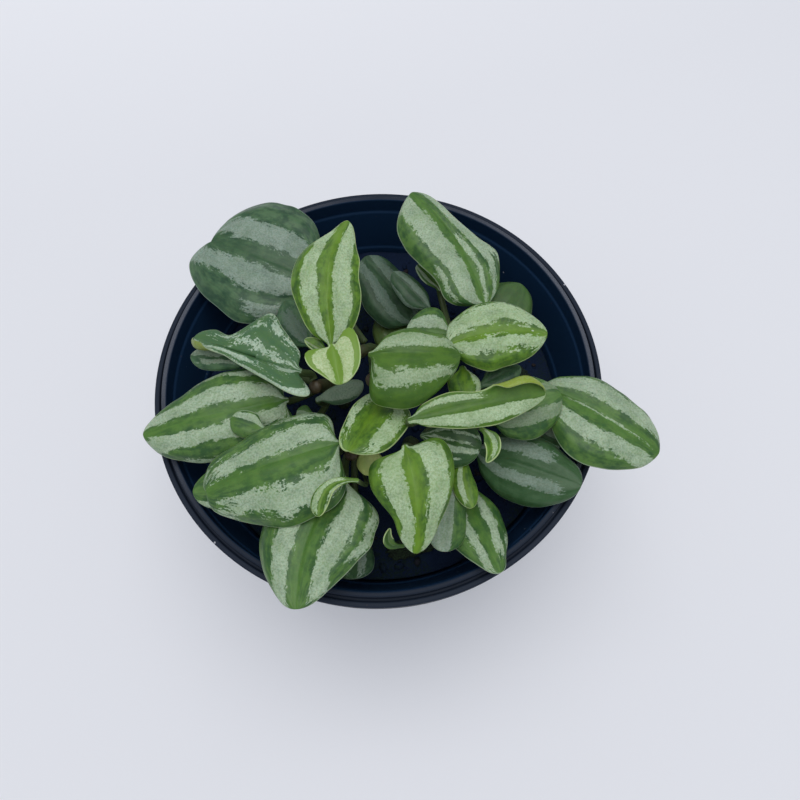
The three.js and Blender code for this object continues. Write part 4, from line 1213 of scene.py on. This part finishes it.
# %% Colours of the three ages
# dark and light green, the green beside the midrib (in a young leaf a painted glow of light through
# the blade), silver, underside, and the pale line along the edge (partly a painted highlight)
PALETTES = {
    "young": [(0.038, 0.106, 0.012), (0.124, 0.250, 0.022), (0.150, 0.280, 0.016),
              (0.43, 0.56, 0.34), (0.25, 0.33, 0.03), (0.42, 0.54, 0.24)],
    "mature": [(0.032, 0.094, 0.026), (0.100, 0.205, 0.044), (0.090, 0.205, 0.030),
               (0.41, 0.52, 0.36), (0.19, 0.25, 0.04), (0.32, 0.42, 0.26)],
    "old": [(0.026, 0.074, 0.036), (0.080, 0.160, 0.072), (0.045, 0.105, 0.042),
            (0.28, 0.36, 0.29), (0.10, 0.15, 0.06), (0.18, 0.26, 0.19)],
}
WATER_SPECK = (0.55, 0.62, 0.50)
print("ages:", *PALETTES)


# %% Silver bands
BAND_END = 0.9
SEED_STEP = 7.3


def silver_field(bands, t, v):
    """The largest of the bands' fields. A band's field is its half width less the distance from its
    middle line, and near an end it is a share of the distance to that end."""
    field = None
    for low, high, *span in bands:
        inside = (high - low) / 2 - abs(v - (low + high) / 2)
        if span:
            start, stop = span
            inside = inside.least((t - start) * BAND_END).least((stop - t) * BAND_END)
        field = inside if field is None else field.most(inside)
    return field


def leaf_finish(leaf, seed):
    """Green first, then silver over it, and then what hides both: specks, the line along the edge,
    the underside and the stalk. Each leaf's noise is a slice of its own."""
    finish = Finish("leaf_skin_" + leaf["node"])
    dark, light, centre, silvery, underside, margin = PALETTES[leaf["age"]]
    t, v, stripes, edge, under = [
        finish.attribute(name) for name in ("along", "across", "stripes", "edge", "under")
    ]
    place = finish.place()
    nerve = finish.vector(t * leaf_axes(leaf)[0], v * (breadth(leaf) / 2), seed * SEED_STEP)
    streaked = finish.stretch(nerve, (0.30, 1.0, 1))

    slow = finish.noise(nerve, 0.16, 1)
    torn = finish.noise(streaked, 1.0, 3, 0.62)
    grain = finish.noise(place, 2.1, 3, 0.7)
    mottle = (finish.noise(nerve, 0.30, 3, 0.65) * 0.6 + torn * 0.4).rise(0.38, 0.62)
    if leaf["tint"]:
        skin = finish.blend(leaf["tint"], light, mottle * 0.4)
    else:
        skin = finish.blend(dark, light, mottle)
        # Painted glow: beside the midrib the green turns to the centre colour, which in a young leaf
        # stands in for light shining through the blade.
        skin = finish.blend(skin, centre, (abs(stripes) + (slow - 0.5) * 0.5).rise(0.30, 0.0) * 0.6)
    rough = 0.35 + grain * 0.10
    if leaf["bands"]:
        field = silver_field(leaf["bands"], t, stripes + (slow - 0.5) * 0.14)
        teeth = finish.noise(nerve, 1.7, 2, 0.6)
        patches = finish.noise(streaked, 0.30, 2)
        tears = (torn - 0.5) * 0.26 + (teeth - 0.5) * 0.17 + (patches - 0.5) * 0.20
        silver = (field + tears * leaf["torn"]).rise(-0.014, 0.034)
        clouds = finish.noise(nerve, 0.20, 3, 0.6).rise(0.36, 0.60) * 0.26 + 0.74
        powder = grain.rise(0.36, 0.60) * 0.42 + 0.58
        holes = finish.cells(place, 1.7).rise(0.08, 0.26) * 0.16 + 0.84
        skin = finish.blend(skin, leaf["silver"] or silvery, silver * powder * holes * clouds)
        rough = rough + silver * 0.10
    specks = finish.cells(nerve, 0.085).rise(0.034, 0.020)
    skin = finish.blend(skin, WATER_SPECK, specks * 0.8)
    # The pale line along the edge is partly the blade's own pale margin and partly a painted highlight on
    # its rim.
    skin = finish.blend(skin, margin, edge.rise(0.34, 0.16) * 0.9)
    below = finish.blend(underside, margin, grain.rise(0.3, 0.8) * 0.3)
    skin = finish.blend(skin, below, under.rise(0.3, 0.7))
    skin = finish.blend(skin, leaf["stalk"], t.rise(0.02, -0.04))
    return finish.surface(
        Base_Color=skin, Roughness=rough, Normal=finish.bump(grain * 0.5 + torn * 0.5, 0.08),
        Subsurface_Weight=0.08, Subsurface_Scale=0.4 * MM, IOR=1.42, Specular_IOR_Level=0.42,
    )


# %% Grow the plant
for seed, leaf in enumerate(LEAVES):
    piece = leaf_piece(leaf, 100 + 10 * seed)
    settle(piece, "leaf_" + leaf["node"], "leaf_" + leaf["age"], leaf_finish(leaf, seed))

stem_skin = stem_finish()
for letter in STEMS:
    joins = [leaf["joins"] for leaf in LEAVES if leaf["node"][0] == letter]
    settle(stem_piece(letter, joins), "stem_" + letter, "stem", stem_skin)

# %% [markdown]
# ## The room
# The floor is a plain pale sheet. Soft light comes from a large lamp overhead and a little behind, as
# from a bright ceiling, and from a window far behind. The pale world fills the shadows.

# %% Floor and lights
FLOOR_REACH = 1500
FLOOR_COLOUR = (0.88, 0.88, 0.91, 1)
WORLD_COLOUR = (0.86, 0.91, 1.0, 1)
WORLD_STRENGTH = 0.46
LAMP_TARGET = (0, 0, 80)

corners = np.array([[-1, -1, 0], [1, -1, 0], [1, 1, 0], [-1, 1, 0]], float) * FLOOR_REACH
floor = make_piece("floor", corners, np.array([[0, 1, 2, 3]]), np.empty((0, 3), int))
floor.data.materials.append(Finish("pale_sheet").surface(Base_Color=FLOOR_COLOUR, Roughness=0.9))

world = bpy.data.worlds.new("pale_room")
world.use_nodes = True
background = world.node_tree.nodes["Background"]
background.inputs["Color"].default_value = WORLD_COLOUR
background.inputs["Strength"].default_value = WORLD_STRENGTH
bpy.context.scene.world = world


def soft_lamp(name, place, size, power):
    """A square lamp at a place in millimetres that faces the plant."""
    data = bpy.data.lights.new(name, "AREA")
    data.shape = "SQUARE"
    data.size = size * MM
    data.energy = power
    lamp = bpy.data.objects.new(name, data)
    lamp.location = [value * MM for value in place]
    facing = unit(np.subtract(LAMP_TARGET, place).astype(float))
    lamp.rotation_mode = "XYZ"
    lamp.rotation_euler = (math.acos(-facing[2]), 0, math.atan2(facing[0], -facing[1]))
    bpy.context.collection.objects.link(lamp)


soft_lamp("ceiling", (0, 60, 1500), 1300, 12.5)
soft_lamp("window", (-300, 900, 900), 900, 7)
bpy.context.scene.view_settings.view_transform = "Standard"
